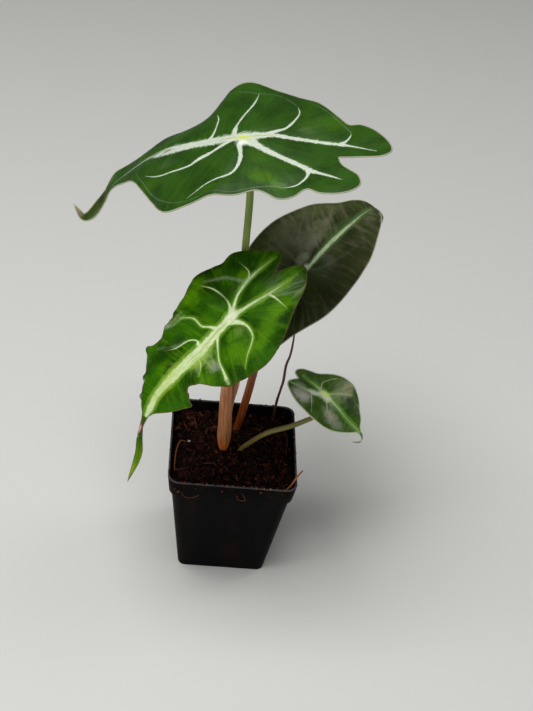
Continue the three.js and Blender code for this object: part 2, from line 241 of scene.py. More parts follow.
# %% Floor and light
FLOOR_REACH = 6.0
FLOOR_COLOUR = colour(226, 226, 222)
LAMPS = {
    "top_lamp": {"at": (-0.3, -0.1, 1.25), "side": 0.7, "power": 11.0},
    "front_lamp": {"at": (-0.55, -1.0, 0.38), "side": 0.7, "power": 4.0},
    "right_lamp": {"at": (1.0, 0.5, 0.8), "side": 0.6, "power": 2.5},
}
LAMPS_AIM = Vector((0, 0, 0.15))
GLOW = 0.13


def deselect():
    if bpy.context.object and bpy.context.object.mode == "EDIT":
        bpy.ops.object.mode_set(mode="OBJECT")
    bpy.ops.object.select_all(action="DESELECT")


def select_only(piece):
    deselect()
    piece.select_set(True)
    bpy.context.view_layer.objects.active = piece


def dress_piece(piece, finishes):
    piece.data.materials.clear()
    for finish in finishes:
        piece.data.materials.append(finish.material)


deselect()
bpy.ops.mesh.primitive_plane_add(size=FLOOR_REACH)
floor = bpy.context.object
floor.name = "floor"
floor_finish = Finish("floor", {"Base Color": FLOOR_COLOUR, "Roughness": 0.75})
dress_piece(floor, [floor_finish])
floor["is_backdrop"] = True

for name, lamp in LAMPS.items():
    data = bpy.data.lights.new(name, "AREA")
    data.energy = lamp["power"]
    data.size = lamp["side"]
    holder = bpy.data.objects.new(name, data)
    holder.location = lamp["at"]
    beam = LAMPS_AIM - holder.location
    holder.rotation_euler = beam.to_track_quat("-Z", "Y").to_euler()
    bpy.context.scene.collection.objects.link(holder)

world = bpy.data.worlds.new("studio")
world.use_nodes = True
background = world.node_tree.nodes["Background"].inputs
background["Color"].default_value = (1, 1, 1, 1)
background["Strength"].default_value = GLOW
bpy.context.scene.world = world
bpy.context.scene.view_settings.view_transform = "Standard"
print("lamps:", len(LAMPS), "and a glow of", GLOW)

# %% [markdown]
# ## Smooth curves through a few points
# A leaf is described by few numbers: how its midrib runs, and how wide it is on either side.
# Two helpers read smooth curves through such rows: through goes evenly from row to row, which
# suits outlines and routes, and read_table is read at a distance along its first column.

# %% Curves
def through(rows, steps):
    """Points on a smooth curve through all the rows, so many steps from one row to the next."""
    rows = np.array(rows, float)
    last = len(rows) - 1
    t = np.linspace(0, last, last * steps + 1)
    low = np.clip(np.floor(t).astype(int), 0, last - 1)
    k = (t - low)[:, None]
    here, after = rows[low], rows[low + 1]
    slope_here = (after - rows[np.maximum(low - 1, 0)]) / 2
    slope_after = (rows[np.minimum(low + 2, last)] - here) / 2
    return hermite(here, after, slope_here, slope_after, k)


def unit(vectors):
    """The same directions, each one unit long."""
    return vectors / np.maximum(np.linalg.norm(vectors, axis=-1, keepdims=True), 1e-9)


def distances(line):
    """How far each point of a line is from its start, along the line."""
    return np.concatenate(([0], np.cumsum(np.linalg.norm(np.diff(line, axis=0), axis=1))))


def hermite(start, end, slope_start, slope_end, k):
    """The cubic from start to end with these slopes, at the share k of the way."""
    rise = 3 * k**2 - 2 * k**3
    pull = slope_start * (k**3 - 2 * k**2 + k) + slope_end * (k**3 - k**2)
    return start * (1 - rise) + end * rise + pull


def read_table(table, at):
    """All columns of a table as smooth curves, read at places along its first column."""
    rows = np.array(table, float)
    at = np.asarray(at, float)
    knots = rows[:, 0]
    last = len(rows) - 1
    before = rows[np.maximum(np.arange(last + 1) - 1, 0)]
    after = rows[np.minimum(np.arange(last + 1) + 1, last)]
    slopes = (after - before) / (after[:, :1] - before[:, :1])
    inside = np.clip(at, knots[0], knots[-1])
    low = np.clip(np.searchsorted(knots, inside, side="right") - 1, 0, last - 1)
    span = (knots[low + 1] - knots[low])[..., None]
    k = (inside - knots[low])[..., None] / span
    value = hermite(rows[low], rows[low + 1], slopes[low] * span, slopes[low + 1] * span, k)
    end_slope = np.where((at < inside)[..., None], slopes[0], slopes[-1])
    return value + end_slope * (at - inside)[..., None]


# %% [markdown]
# ## The four blades
# An aroid's blade hangs from its stalk near the notch between two lobes, and ends in a long
# drip tip. Each one is given by rows along its midrib: distance, forward, up, roll in degrees,
# and how far the left and right margins droop. Its two edges run from the tip to the notch as
# distance along the midrib and half width. The rows follow those of the solids, and are drawn
# finer, so that each edge curves as on the real leaf. Ruffles are small dents near the edge.

# %% Top blade
TOP_LEAF = {
    "start": (-12.5, 13.9, 257.2),
    "heading": 27,
    "spine": [
        (-75, -72, 14, 17, 0, 4),
        (-50, -48, 6, 17, 0, 4),
        (-25, -25, 2, 17, 0, 5),
        (0, 0, 0, 17, 6, 5),
        (20, 18, -9, 17, -3.7, 6),
        (40, 35.5, -18.5, 17, 13.7, 9),
        (60, 51, -31, 17, 14, 10),
        (80, 65, -45, 17, 1, 10),
        (92, 72, -54, 30, 0, 0),
        (104, 77, -64, 50, 0, 0),
        (116, 83, -75, 70, 0, 0),
        (123, 88, -79, 60, 0, 0),
        (128, 92, -76, 40, 0, 0),
        (133, 95, -73, 30, 0, 0),
    ],
    "left": [
        (133, 0), (128, 1.2), (122, 2.2), (112, 3), (100, 3.6), (90, 7.4), (82, 8.6), (73, 13.8),
        (64, 17.9), (55, 23.8), (46, 29), (38, 34.5), (31, 38.5), (22, 38.4), (12, 43), (2, 41.5),
        (-12, 38.3), (-27, 32.2), (-38, 27.6), (-46, 23.3), (-53, 23), (-62, 19.8), (-70, 13.2),
        (-74.2, 6), (-70.5, 2.1), (-60, 0.9), (-50, 0),
    ],
    "right": [
        (133, 0), (128, 1.2), (122, 2.2), (112, 3), (100, 3.2), (91, 4), (82, 6), (73, 9),
        (65, 14.5), (59.5, 20.1), (54.6, 25.4), (49, 31), (41, 37.4), (32, 40.6), (20, 38.4),
        (4, 37), (-11, 34), (-20, 29), (-30, 30), (-37, 27), (-42, 22), (-50, 24), (-59, 22),
        (-66, 17), (-63, 10), (-54, 5), (-50, 0),
    ],
    "wave": 0.8,
}
top_spine = TOP_LEAF["spine"]
print("top blade:", top_spine[-1][0] - top_spine[0][0], "mm along its midrib")

# %% Middle blade
MIDDLE_LEAF = {
    "start": (-11, -24, 179),
    "heading": -32,
    "spine": [
        (-45, -34, 29.5, 12, 3, 3),
        (-22, -17, 14.5, 12, 4, 4),
        (0, 0, 0, 12, 5, 5),
        (20, 15.5, -12.5, 12, 6, 6),
        (40, 31, -26, 12, 8, 8),
        (52, 38, -36, 12, 8, 8),
        (62, 43, -44.5, 12, 6, 6),
        (70, 46, -52, 30, 0, 0),
        (80, 48.5, -61, 60, 0, 0),
        (90, 49, -71, 50, 0, 0),
        (100, 50.5, -81, 20, 0, 0),
        (110, 52.5, -90.5, 10, 0, 0),
    ],
    "left": [
        (110, 0), (104, 0.5), (96, 0.4), (86, 0.3), (78, 0.6), (71, 1.2), (66.5, 2.4), (64, 4.4),
        (60.3, 7.6), (56, 10.2), (52, 12.8), (47.5, 16.2), (44, 19.6), (41.6, 23.3), (38, 20.6),
        (33, 19.5), (29, 22.2), (24, 24), (18, 27), (10, 29), (1, 32), (-6, 31), (-14, 27),
        (-21, 26), (-28, 20), (-35, 12), (-39, 6), (-36, 3), (-29, 0),
    ],
    "right": [
        (110, 0), (104, 1.6), (96, 2.9), (88, 3.3), (79, 2.3), (73, 1.1), (68, 1.1), (65, 1.8),
        (62, 4), (59, 7.4), (55.6, 10.9), (50.5, 15), (46, 18.3), (43.4, 15.4), (41, 12.2),
        (37.4, 11.8), (34, 14.6), (30, 20), (25, 25), (20, 27), (13, 29.5), (4, 31), (-5, 29),
        (-14, 26), (-25, 21), (-36, 16), (-42, 10), (-38, 4), (-29, 0),
    ],
    "wave": 0.8,
    "ruffles": [
        (27, -21.5, 3.5, 1.4), (14, -26, 4, 1.0), (22, -24.5, 2.5, -1.1), (34, -17, 3, 1.1),
        (41, -21.5, 3, 1.2), (52, -13, 3, 1.3), (60, -8, 2.5, 1.2), (3, -29, 4, -0.8),
        (-10, -27, 4, 0.9), (36, 12, 3.5, -1.2), (45, 16, 3, 0.9), (26, 22, 3.5, 1.2),
        (-33, 12, 4, 1.0), (-30, -14, 5, -0.9),
    ],
}
print("ruffles of the middle blade:", len(MIDDLE_LEAF["ruffles"]))

# %% Back and small blade
BACK_LEAF = {
    "start": (27.8, 34, 169.9),
    "heading": 130,
    "spine": [
        (-50, -44, -23, -14, 4, 4),
        (-25, -22, -12, -14, 4, 4),
        (0, 0, 0, -14, 5, 5),
        (15, 13, 7.5, -14, 5, 5),
        (30, 27.3, 11.1, -14, 5, 5),
        (45, 42, 14.3, -14, 6, 6),
        (59, 55.5, 15.2, -14, 6, 6),
        (68, 63, 12.6, -10, 0, 0),
        (78, 69, 6, 0, 0, 0),
        (86, 72.4, -0.5, 10, 0, 0),
    ],
    "left": [
        (86, 0), (78, 2), (71, 2.5), (66.5, 3.8), (62, 7), (55.5, 11.5), (46, 16.2), (37, 20.2),
        (28, 23.4), (15.5, 25.6), (3, 26), (-6, 25.4), (-15, 23.8), (-24, 21), (-34, 17.5),
        (-43, 15), (-47, 10), (-39, 3.5), (-28, 0),
    ],
    "right": [
        (86, 0), (78, 2), (71, 2.5), (66.5, 3.6), (62.5, 6.6), (56, 11), (48, 15), (42, 19.6),
        (35.5, 24), (24, 28.8), (11, 32), (-2, 33.2), (-14, 31), (-25, 26), (-33, 20), (-39, 14),
        (-40, 8), (-35, 3.5), (-28, 0),
    ],
    "wave": 0.6,
}
SMALL_LEAF = {
    "start": (44.2, -4.5, 118.2),
    "heading": 200,
    "spine": [
        (-22, -21, 7.5, -18, 3, 3),
        (-11, -10.5, 3, -18, 5, 5),
        (0, 0, 0, -18, 7, 7),
        (9, 7.5, -5, -18, 9, 9),
        (18, 14, -11, -18, 12, 12),
        (26, 20.5, -16, -18, 10, 10),
        (31, 24, -19.5, -10, 0, 0),
        (35, 25, -23.5, 0, 0, 0),
        (38, 23, -25.7, 0, 0, 0),
        (41, 20, -26, 0, 0, 0),
    ],
    "left": [
        (41, 0), (38, 0.7), (35, 0.9), (31, 1.1), (28, 1.8), (25, 5.2), (21.6, 8.2), (17, 11.8),
        (13, 13.9), (9, 15.2), (2.5, 16), (-3.4, 15.2), (-10.4, 12.4), (-16, 9.4), (-19, 7),
        (-19.6, 4.6), (-18, 2), (-16.2, 0),
    ],
    "right": [
        (41, 0), (38, 0.7), (35, 0.9), (31, 1.1), (28.2, 2), (25.6, 6.6), (22.6, 10.2), (20, 14.4),
        (16.6, 17.4), (11, 18.8), (3.5, 16.8), (-2.5, 13.2), (-7.6, 10), (-12, 8.7), (-16.6, 6.7),
        (-19.2, 3.8), (-19, 1.6), (-16.2, 0),
    ],
    "wave": 0.4,
}
small_spine = SMALL_LEAF["spine"]
print("small blade:", small_spine[-1][0] - small_spine[0][0], "mm along its midrib")

# %% [markdown]
# ## Veins
# The pale veins are this plant's mark. They branch from the point where the stalk meets the
# blade. Each is a short list of rows: distance along the midrib, distance across it, and half
# width. They are kept in three sets, and no two veins of one set come close to each other, so
# that every point of the blade can carry its signed distance to the nearest vein of each set.
# A signed distance stays exact between two points, so a vein's edge is crisp on a mesh whose
# faces are nearly as wide as the vein. A fourth set holds the veins that barely show.

# %% Veins of the top blade
TOP_VEINS = [
    [
        [(92, 0, -0.1), (80, -0.3, 0.1), (72, -1.2, 0.3), (65, -2.2, 0.55), (60, -2.4, 1.2),
         (56, -2.1, 2.3), (51, -1.5, 3.4), (46, -1, 3.6), (41, -0.2, 3.1), (34, 0, 2.7),
         (26, 0, 2.6), (18, 0, 3.0), (8, 0.1, 3.0), (0, -0.5, 3.2), (-5, -2.2, 2.5),
         (-9, -3.9, 1.7), (-14, -5.7, 1.4), (-26.5, -7.8, 1.1), (-43, -8.9, 0.95), (-48, -8.8, 1.1),
         (-53, -8.2, 0.5), (-67, -6.1, 0)],
    ],
    [
        [(0, 1, 2.8), (-5, 2.8, 2.5), (-9, 4.1, 1.8), (-14, 5.2, 1.5), (-22, 6.5, 1.3),
         (-34, 9, 1.2), (-39, 10.5, 1.5), (-44, 11.2, 0.8), (-51, 12.5, 0.5), (-57, 14, -0.1)],
        [(7.4, -1.5, 1.5), (8.3, -4.5, 1.4), (8.9, -7.2, 1.2), (9.1, -9.4, 0.65), (8.5, -14, 0.5),
         (7.2, -22, 0.4), (6.9, -28, 0.35), (7.6, -36, -0.1)],
        [(22, -1, 1.8), (21.2, -4.6, 0.8), (21.5, -9.1, 0.45), (22.4, -14.8, 0.35),
         (23.3, -18.1, 0.3), (26.3, -22.5, -0.1)],
        [(7, 1.5, 1.6), (13.2, 6.3, 1.1), (17.1, 8.8, 1.0), (21.2, 10.6, 1.2), (24, 12.6, 1.0),
         (25.8, 14.6, 0.7), (29, 16, 0.55), (34, 17, 0.45), (43, 17.2, 0.35), (51, 15.3, 0.2),
         (59, 11.8, -0.1)],
        [(-46.5, -9, 1.6), (-48.4, -10.5, 0.9), (-49.7, -13.4, 0.5), (-49.7, -17, 0)],
    ],
    [
        [(0, 1, 2.6), (1, 5.5, 1.5), (-1, 9, 1.3), (-3.4, 13.5, 1.1), (-4.3, 18, 0.9),
         (-3.6, 22, 0.7), (-0.5, 24.8, 0.55), (6.1, 27, 0.4), (13.7, 29.9, 0.3),
         (22.3, 34.9, -0.1)],
        [(-9, -4.5, 1.7), (-12.5, -8.9, 0.9), (-15.1, -12.5, 0.7), (-16.3, -19, 0.5),
         (-16.1, -24.9, 0.3), (-12.6, -30, -0.1)],
        [(-38, 10.5, 1.7), (-38.9, 12.8, 0.9), (-38.8, 15.5, 0.6), (-37.6, 17.9, 0.5),
         (-35.2, 20.5, 0.35), (-30, 23.2, -0.1)],
    ],
]
TOP_FAINT_VEINS = [
    [(-49.7, -17, 0.3), (-43.7, -21.6, 0.2), (-35.8, -26.1, 0.2), (-26.2, -30.1, 0.15),
     (-16, -34, -0.1)],
    [(-12.6, -30, 0.3), (-7, -33.3, 0.2), (1, -36.5, 0.2), (12, -35, 0.2), (22, -34, -0.1)],
    [(-31, 22.9, 0.5), (-24, 24.9, 0.4), (-16, 29.2, 0.3), (-8, 33, 0.2), (4, 34.6, 0.1),
     (14, 35.4, 0.1), (27, 36.4, 0.15), (34, 35.4, 0.2), (43, 31.4, 0.25), (51, 25.2, 0.3),
     (57, 18.2, 0.25), (66, 8, 0.1)],
]
print("veins of the top blade:", sum(len(group) for group in TOP_VEINS))

# %% Veins of the middle blade
MIDDLE_VEINS = [
    [
        [(66.5, 0, 0.7), (63.5, 0.1, 1.6), (60, 0, 2.1), (54, -0.9, 1.9), (48, -0.3, 2.3),
         (42, 0.7, 3.0), (36, 1, 2.8), (30, 1.6, 3.2), (24, 2, 3.3), (18, 1.6, 3.0), (12, 1, 2.6),
         (6, 0.5, 2.4), (1, 0, 2.8), (-3, 0.8, 1.4), (-10, 2.5, 0.7), (-20, 5.5, 0.55),
         (-24, 6.5, 0.3), (-33, 8.6, -0.2)],
    ],
    [
        [(0, -1, 2.2), (-4, -3.2, 0.9), (-9, -6, 0.7), (-17, -8, 0.8), (-20, -8, 0.8),
         (-25, -7.7, 0.4), (-36, -6, -0.2)],
        [(4, 1, 1.6), (0.6, 3.9, 1.4), (-1.6, 8, 0.7), (-1.8, 12, 0.4), (-0.3, 16, 0.25),
         (3.8, 18.8, 0.15), (8, 21, 0.05), (13, 25, -0.2)],
        [(10, -1, 1.4), (12, -4.5, 0.5), (14.5, -8, 0.35), (15, -15, 0.25), (20, -21, -0.1)],
        [(11, 1, 2.0), (13.4, 4.3, 0.7), (16.5, 8.2, 0.35), (20, 13, 0.3), (21.7, 18, 0.5),
         (23.3, 22, 0.8), (24, 24.4, 0.7)],
        [(29, 1, 1.2), (26.5, 4, 0.3), (27.6, 7.5, 0.2), (32, 11.5, -0.2)],
    ],
    [
        [(0, -1, 1.6), (-3, -6, 0.5), (-3.5, -12, 0.4), (-2, -20, 0.3), (1, -25.5, 0)],
        [(22, -1, 1.2), (21, -3.5, 0.4), (24, -7, 0.3), (31, -9, 0.2), (36, -13, -0.1)],
        [(-20, 6, 0.8), (-21, 10, 0.4), (-21.5, 18, -0.1)],
        [(-18.5, -8.5, 0.5), (-21, -12, 0.25), (-20.5, -20, -0.15)],
    ],
]
MIDDLE_FAINT_VEINS = [
    [(-18.5, -7.8, 0.9), (-15.2, -10, 0.9), (-13, -14, 0.7), (-10.3, -18.5, 0.8), (-6, -22.2, 0.7),
     (-1, -26.5, 0)],
    [(-20, 6, 0.5), (-27, 6.6, 0.5), (-37.5, 9.2, 0.1)],
    [(-22, 7.4, 0.5), (-29, 10.4, 0.5), (-37, 13.6, 0.1)],
    [(-21, 8.2, 0.5), (-27, 13, 0.5), (-33, 16.4, 0.1)],
    [(25, -7.6, 0.5), (31, -10.2, 0.6), (38, -17, 0.3)],
    [(23, 3.4, 0.4), (21.5, 7, 0.4), (22.2, 12, 0.1)],
    [(25, 3.6, 0.4), (24.4, 8, 0.4), (24.6, 14, 0.1)],
    [(27, 3.2, 0.4), (29.6, 6.6, 0.4), (31.4, 10, 0.1)],
    [(17, -19.8, 0.5), (22, -20.2, 0.6), (27.6, -20.4, 0.3)],
]
print("veins of the middle blade:", sum(len(group) for group in MIDDLE_VEINS))

# %% Veins of the back and small blade
BACK_VEINS = [
    [
        [(62, 0, -0.1), (52, 0, 0.35), (44, -0.2, 0.7), (34, -0.3, 1.0), (24, -0.7, 1.3),
         (14, -1.3, 1.2), (7, -0.9, 0.9), (1, 0.3, 0.5), (-4, 1, 0.3), (-18, 6, 0.2), (-30, 10, 0)],
    ],
    [
        [(0, -1, 0.4), (-14, -6, 0.3), (-30, -9, 0)],
    ],
    [
        [(-2, 2, 0.3), (-10, 14, 0.25), (-8, 24, 0)],
    ],
]
BACK_FAINT_VEINS = [
    [(1.4, -0.5, 0.9), (4, -4.4, 0.8), (8.5, -7.5, 0.8), (22.3, -11.3, 0.7), (34, -11.6, 0.1)],
    [(3, 1, 0.5), (9, 9, 0.5), (15, 15, 0.4), (26, 21, 0)],
    [(14, 1, 0.5), (21, 9.5, 0.5), (29, 17, 0.4), (36, 20, 0)],
    [(-10, -5, 0.3), (-14, -12, 0.2), (-10, -18, 0)],
    [(26, 1, 0.5), (33, 8.6, 0.4), (42, 13.6, 0)],
]
SMALL_VEINS = [
    [
        [(30, 0, 0.1), (24, -0.2, 0.5), (17, -0.3, 0.5), (10, -0.1, 0.8), (3, -0.4, 1.5),
         (-1, 0.4, 1.5), (-6, 2, 0.45), (-15, 3.5, 0)],
    ],
    [
        [(0, -1, 0.9), (-3, -1.8, 1.2), (-6.4, -2.5, 0.9), (-10.4, -3.1, 0.5), (-14, -3.7, 0.3),
         (-19, -4.7, 0)],
        [(1.5, 1, 0.5), (4, 3.7, 0.45), (7.2, 7.3, 0.4), (10.9, 10.8, 0.35), (13.7, 14.2, 0)],
    ],
    [
        [(-2.6, 1.5, 0.5), (-3.6, 4.8, 0.4), (-2.6, 7.5, 0.3), (0, 11.2, 0.25), (2.1, 14, 0)],
        [(-6.3, -3.3, 0.35), (-4.5, -7.2, 0.25), (-2.4, -11, 0.2), (-0.8, -13.8, 0)],
        [(3, -2, 0.4), (5, -4.3, 0.3), (8.1, -6.8, 0.2), (13, -7.5, 0)],
    ],
]
SMALL_FAINT_VEINS = [
    [(13.2, 14, 0.4), (16, 13.4, 0.35), (18.3, 9.8, 0.35), (19.9, 5.5, 0.1)],
]
print("veins of the small blade:", sum(len(group) for group in SMALL_VEINS))

# %% [markdown]
# ## From rows to a blade
# A grid is added with one column of points for each step away from the midrib and one row for
# each step along the edge. The rows lean forward as an aroid's side veins do, and fan out into
# the lobes. The grid is then laid on the bent surface, and its doubled points are merged. A
# Solidify modifier gives it the thickness of a leaf, and more of it under each vein, because
# the veins stand proud on the underside.

# %% The bent surface
DROOP_AT = 40
WAVE_PITCH = 4.5
WAVE_FULL_AT = 8
VEIN_LEAD = 0.4
ROOT_CREEP = 0.3


def blade_frame(leaf, s):
    """Point on the midrib and the directions across and out of the blade, in millimetres."""
    turn = math.radians(leaf["heading"])
    forward = np.array((-math.cos(turn), math.sin(turn), 0.0))
    up = np.array((0.0, 0.0, 1.0))
    row = read_table(leaf["spine"], s)
    step = read_table(leaf["spine"], s + 0.5) - read_table(leaf["spine"], s - 0.5)
    point = np.array(leaf["start"]) + row[..., 1:2] * forward + row[..., 2:3] * up
    along = step[..., 1:2] * forward + step[..., 2:3] * up
    along = unit(along)
    level = np.cross(up, forward)
    lift = np.cross(along, level)
    roll = np.radians(row[..., 3:4])
    across = level * np.cos(roll) - lift * np.sin(roll)
    return point, across, np.cross(along, across), row[..., 4:6]


def blade_surface(leaf, s, v, t, relief):
    """Points s along the midrib and v across it. Relief lifts them off the smooth surface."""
    point, across, out, droop = blade_frame(leaf, s)
    drop = np.where(v < 0, droop[..., 0], droop[..., 1]) * (v / DROOP_AT) ** 2
    grown = t**3 * np.minimum(1, np.abs(v) / WAVE_FULL_AT)
    wave = leaf["wave"] * grown * np.sin(s / WAVE_PITCH + (v < 0))
    return point + across * v[..., None] + out * (wave - drop + relief)[..., None]


def blade_rows(leaf, columns, steps):
    """Where the grid's points lie on the flat blade: s, v and the share from rib to margin."""
    left = through(leaf["left"], steps)
    right = through(leaf["right"], steps)
    lead = (left[:, 0] - VEIN_LEAD * np.abs(left[:, 1]) + right[:, 0]
            - VEIN_LEAD * np.abs(right[:, 1])) / 2
    root = [lead[0]]
    for wanted in lead[1:]:
        root.append(min(root[-1] - ROOT_CREEP / steps, max(wanted, 0)))
    root = np.array(root)[:, None]
    share = np.abs(np.arange(-columns, columns + 1)) / columns
    is_left = np.arange(-columns, columns + 1) < 0
    edge_s = np.where(is_left, left[:, :1], right[:, :1])
    edge_v = np.where(is_left, -left[:, 1:2], right[:, 1:2])
    s = root + (edge_s - root) * share
    v = edge_v * share
    return s, v, np.broadcast_to(share, s.shape), left, right


# %% Distances on the flat blade
FAR = 60.0
VEIN_REACH = 1.8
VEIN_STEPS = 6
END_TAPER = 3


def nearest_on_line(places, line):
    """Signed distance of each place from a line, the line's other columns, and the overshoot."""
    start, end = line[:-1], line[1:]
    run = end[:, :2] - start[:, :2]
    gap = places[:, None, :] - start[None, :, :2]
    length = np.sqrt(np.maximum((run**2).sum(1), 1e-9))
    free = (gap * run).sum(2) / length**2
    k = np.clip(free, 0, 1)
    off = gap - k[..., None] * run
    distance = np.sqrt((off**2).sum(2))
    best = distance.argmin(1)
    pick = np.arange(len(places))
    turn = run[best, 0] * gap[pick, best, 1] - run[best, 1] * gap[pick, best, 0]
    side = np.where(turn < 0, -1.0, 1.0)
    rest = start[best, 2:] + (end - start)[best, 2:] * k[pick, best][:, None]
    beyond = np.abs(free - k)[pick, best] * length[best]
    is_end = (best == 0) & (free[pick, best] < 0)
    is_end |= (best == len(run) - 1) & (free[pick, best] > 1)
    return side * distance[pick, best], rest, np.where(is_end, beyond, 0)


def vein_field(places, veins):
    """For each place: signed distance to the nearest vein, its half width, and how far along."""
    field = np.tile((FAR, -FAR, 0.0), (len(places), 1))
    closest = np.full(len(places), FAR)
    for vein in veins:
        line = through(vein, VEIN_STEPS)
        line = np.column_stack((line, distances(line[:, :2])))
        distance, rest, beyond = nearest_on_line(places, line)
        width = rest[:, 0]
        clear = np.abs(distance) - np.maximum(width, 0)
        closer = clear < closest
        near = np.where(clear < VEIN_REACH, width - END_TAPER * beyond, -FAR)
        field[closer] = np.stack((distance, near, rest[:, 1]), 1)[closer]
        closest = np.minimum(closest, clear)
    return field


# %% Meshes and the values on their points
def add_grid(name, columns, rows):
    """A flat grid of one unit, with its points in rows."""
    deselect()
    bpy.ops.mesh.primitive_grid_add(x_subdivisions=columns, y_subdivisions=rows, size=1)
    piece = bpy.context.object
    piece.name = piece.data.name = name
    return piece


def move_points(piece, points):
    """Lays the piece's points where they are asked for, in millimetres."""
    piece.data.vertices.foreach_set("co", (np.asarray(points) * MM).reshape(-1))
    piece.data.update()


def store(piece, name, kind, values):
    """Keeps a value on every point of the piece, for its material to read."""
    data = piece.data.attributes.new(name, kind, "POINT").data
    field = "value" if kind == "FLOAT" else "vector"
    data.foreach_set(field, np.asarray(values, float).reshape(-1))


def open_piece(piece, kind="VERT"):
    """Takes one piece into edit mode with all of it selected."""
    select_only(piece)
    bpy.ops.object.mode_set(mode="EDIT")
    bpy.ops.mesh.select_mode(type=kind)
    bpy.ops.mesh.select_all(action="SELECT")


def merge_points(piece, distance):
    open_piece(piece)
    bpy.ops.mesh.remove_doubles(threshold=distance * MM)
    bpy.ops.object.mode_set(mode="OBJECT")


def apply_modifiers(piece):
    select_only(piece)
    for modifier in list(piece.modifiers):
        bpy.ops.object.modifier_apply(modifier=modifier.name)


# %% Building one blade
LEAF_THICK = 0.4
RIB_THICK = 1.5
RIB_SIDE = 0.7
RIB_FULL_WIDTH = 1.5
RIB_MARGIN = 5
VEIN_SINK = 0.28
SINK_SIDE = 0.9
QUILT_REACH = 5.0
QUILT_MARGIN = 6
RUFFLE_TURN = 2.6
CRINKLE_PITCH = (9.0, 7.0)
CRINKLE_SLANT = (13, 21)
CRINKLE_MARGIN = 8
MERGE = 0.03


def build_blade(name, leaf, veins, faint_veins, columns, steps, crinkle, quilting):
    """A leaf blade with its veins kept as values on its points."""
    s, v, share, left, right = blade_rows(leaf, columns, steps)
    places = np.stack((s.reshape(-1), v.reshape(-1)), 1)
    fields = [vein_field(places, group) for group in veins]
    faint = vein_field(places, faint_veins)
    outline = np.concatenate((left[::-1] * (1, -1), right))
    margin = np.abs(nearest_on_line(places, outline)[0])
    clear = np.min([np.abs(field[:, 0]) - np.maximum(field[:, 1], 0) for field in fields], 0)
    clear = np.maximum(clear, 0)

    sunk = -VEIN_SINK * np.exp(-(clear / SINK_SIDE) ** 2)
    quilt = quilting * (1 - np.exp(-(clear / QUILT_REACH) ** 2))
    quilt = quilt * np.minimum(1, margin / QUILT_MARGIN)
    ruffle = np.zeros(len(places))
    for at_s, at_v, reach, height in leaf.get("ruffles", ()):
        off = np.hypot(places[:, 0] - at_s, places[:, 1] - at_v) / reach
        ruffle += height * np.exp(-(off**2)) * np.cos(off * RUFFLE_TURN)
    crease = np.sin(places[:, 0] / CRINKLE_PITCH[0] + places[:, 1] / CRINKLE_SLANT[0])
    crease = crease * np.sin(places[:, 1] / CRINKLE_PITCH[1] + places[:, 0] / CRINKLE_SLANT[1])
    relief = sunk + quilt + ruffle + crinkle * crease * np.minimum(1, margin / CRINKLE_MARGIN)

    piece = add_grid(name, 2 * columns, len(left) - 1)
    points = blade_surface(leaf, s, v, share, relief.reshape(s.shape) + LEAF_THICK / 2)
    move_points(piece, points.reshape(-1, 3))
    for number, field in enumerate(fields):
        store(piece, f"vein_{number}", "FLOAT_VECTOR", field)
    store(piece, "vein_faint", "FLOAT_VECTOR", faint)
    store(piece, "margin", "FLOAT", margin)
    row_length = np.arange(len(left))[:, None] * np.ones_like(s)
    grain = np.stack((row_length / steps, share, np.sign(v)), -1)
    store(piece, "grain", "FLOAT_VECTOR", grain)
    store(piece, "flat", "FLOAT_VECTOR", np.stack((s, v, np.zeros_like(s)), -1))

    base = LEAF_THICK / RIB_THICK
    width = np.max([np.maximum(field[:, 1], 0) for field in fields], 0)
    rib = np.exp(-(clear / RIB_SIDE) ** 2) * np.minimum(1, width / RIB_FULL_WIDTH)
    rib = base + (1 - base) * rib * np.minimum(1, margin / RIB_MARGIN)
    group = piece.vertex_groups.new(name="rib")
    for index, weight in enumerate(rib.tolist()):
        group.add([index], weight, "REPLACE")
    merge_points(piece, MERGE)

    shell = piece.modifiers.new("thickness", "SOLIDIFY")
    shell.thickness = RIB_THICK * MM
    shell.offset = -1
    shell.vertex_group = "rib"
    shell.material_offset = 1
    shell.material_offset_rim = 0
    apply_modifiers(piece)
    bpy.ops.object.shade_smooth()
    print(name, len(piece.data.polygons), "faces")
    return piece


# %% [markdown]
# ## Leaf finish
# A blade is leathery with a soft shine. Its green is clouded with yellower patches between the
# veins, and streaked along the side veins in fine lines and broader bands. The veins are cream,
# with frayed edges and a pale halo, and slits of green break up the end of the top midrib. The
# margin has a thin pale rim. Soft patches of another tint lie where the real leaf is spotted or
# dry, and others are painted shade, painted glare and highlights, and painted light where a blade
# lies in shadow. The underside is paler and duller.

# %% Veins as masks
def vein_mask(finish, name, fray, shrink=1.0, grow=0.0, soft=0.25):
    """1 on the veins of one set. Their edges fray into barbs that lean forward along them."""
    distance, width, along = finish.parts(finish.attribute(name))
    span = abs(distance)
    lean = (span * 0.35, 0, (along - span * 0.9) * 0.7)
    barbs = finish.noise(finish.node("ShaderNodeCombineXYZ", None, lean), 1, 4, 0.8) - 0.5
    edge = width * shrink + barbs * (width.most(0) * 2.1 + 0.5) * fray + grow
    return span.fade(edge + soft, edge - soft)


def all_veins(finish, frays, shrink=1.0, softs=(0.25, 0.25, 0.25)):
    """1 on the veins of all three sets, each set with a fray and a softness of its own."""
    masks = [
        vein_mask(finish, f"vein_{number}", fray, shrink, soft=soft)
        for number, (fray, soft) in enumerate(zip(frays, softs))
    ]
    return masks[0].most(masks[1]).most(masks[2])


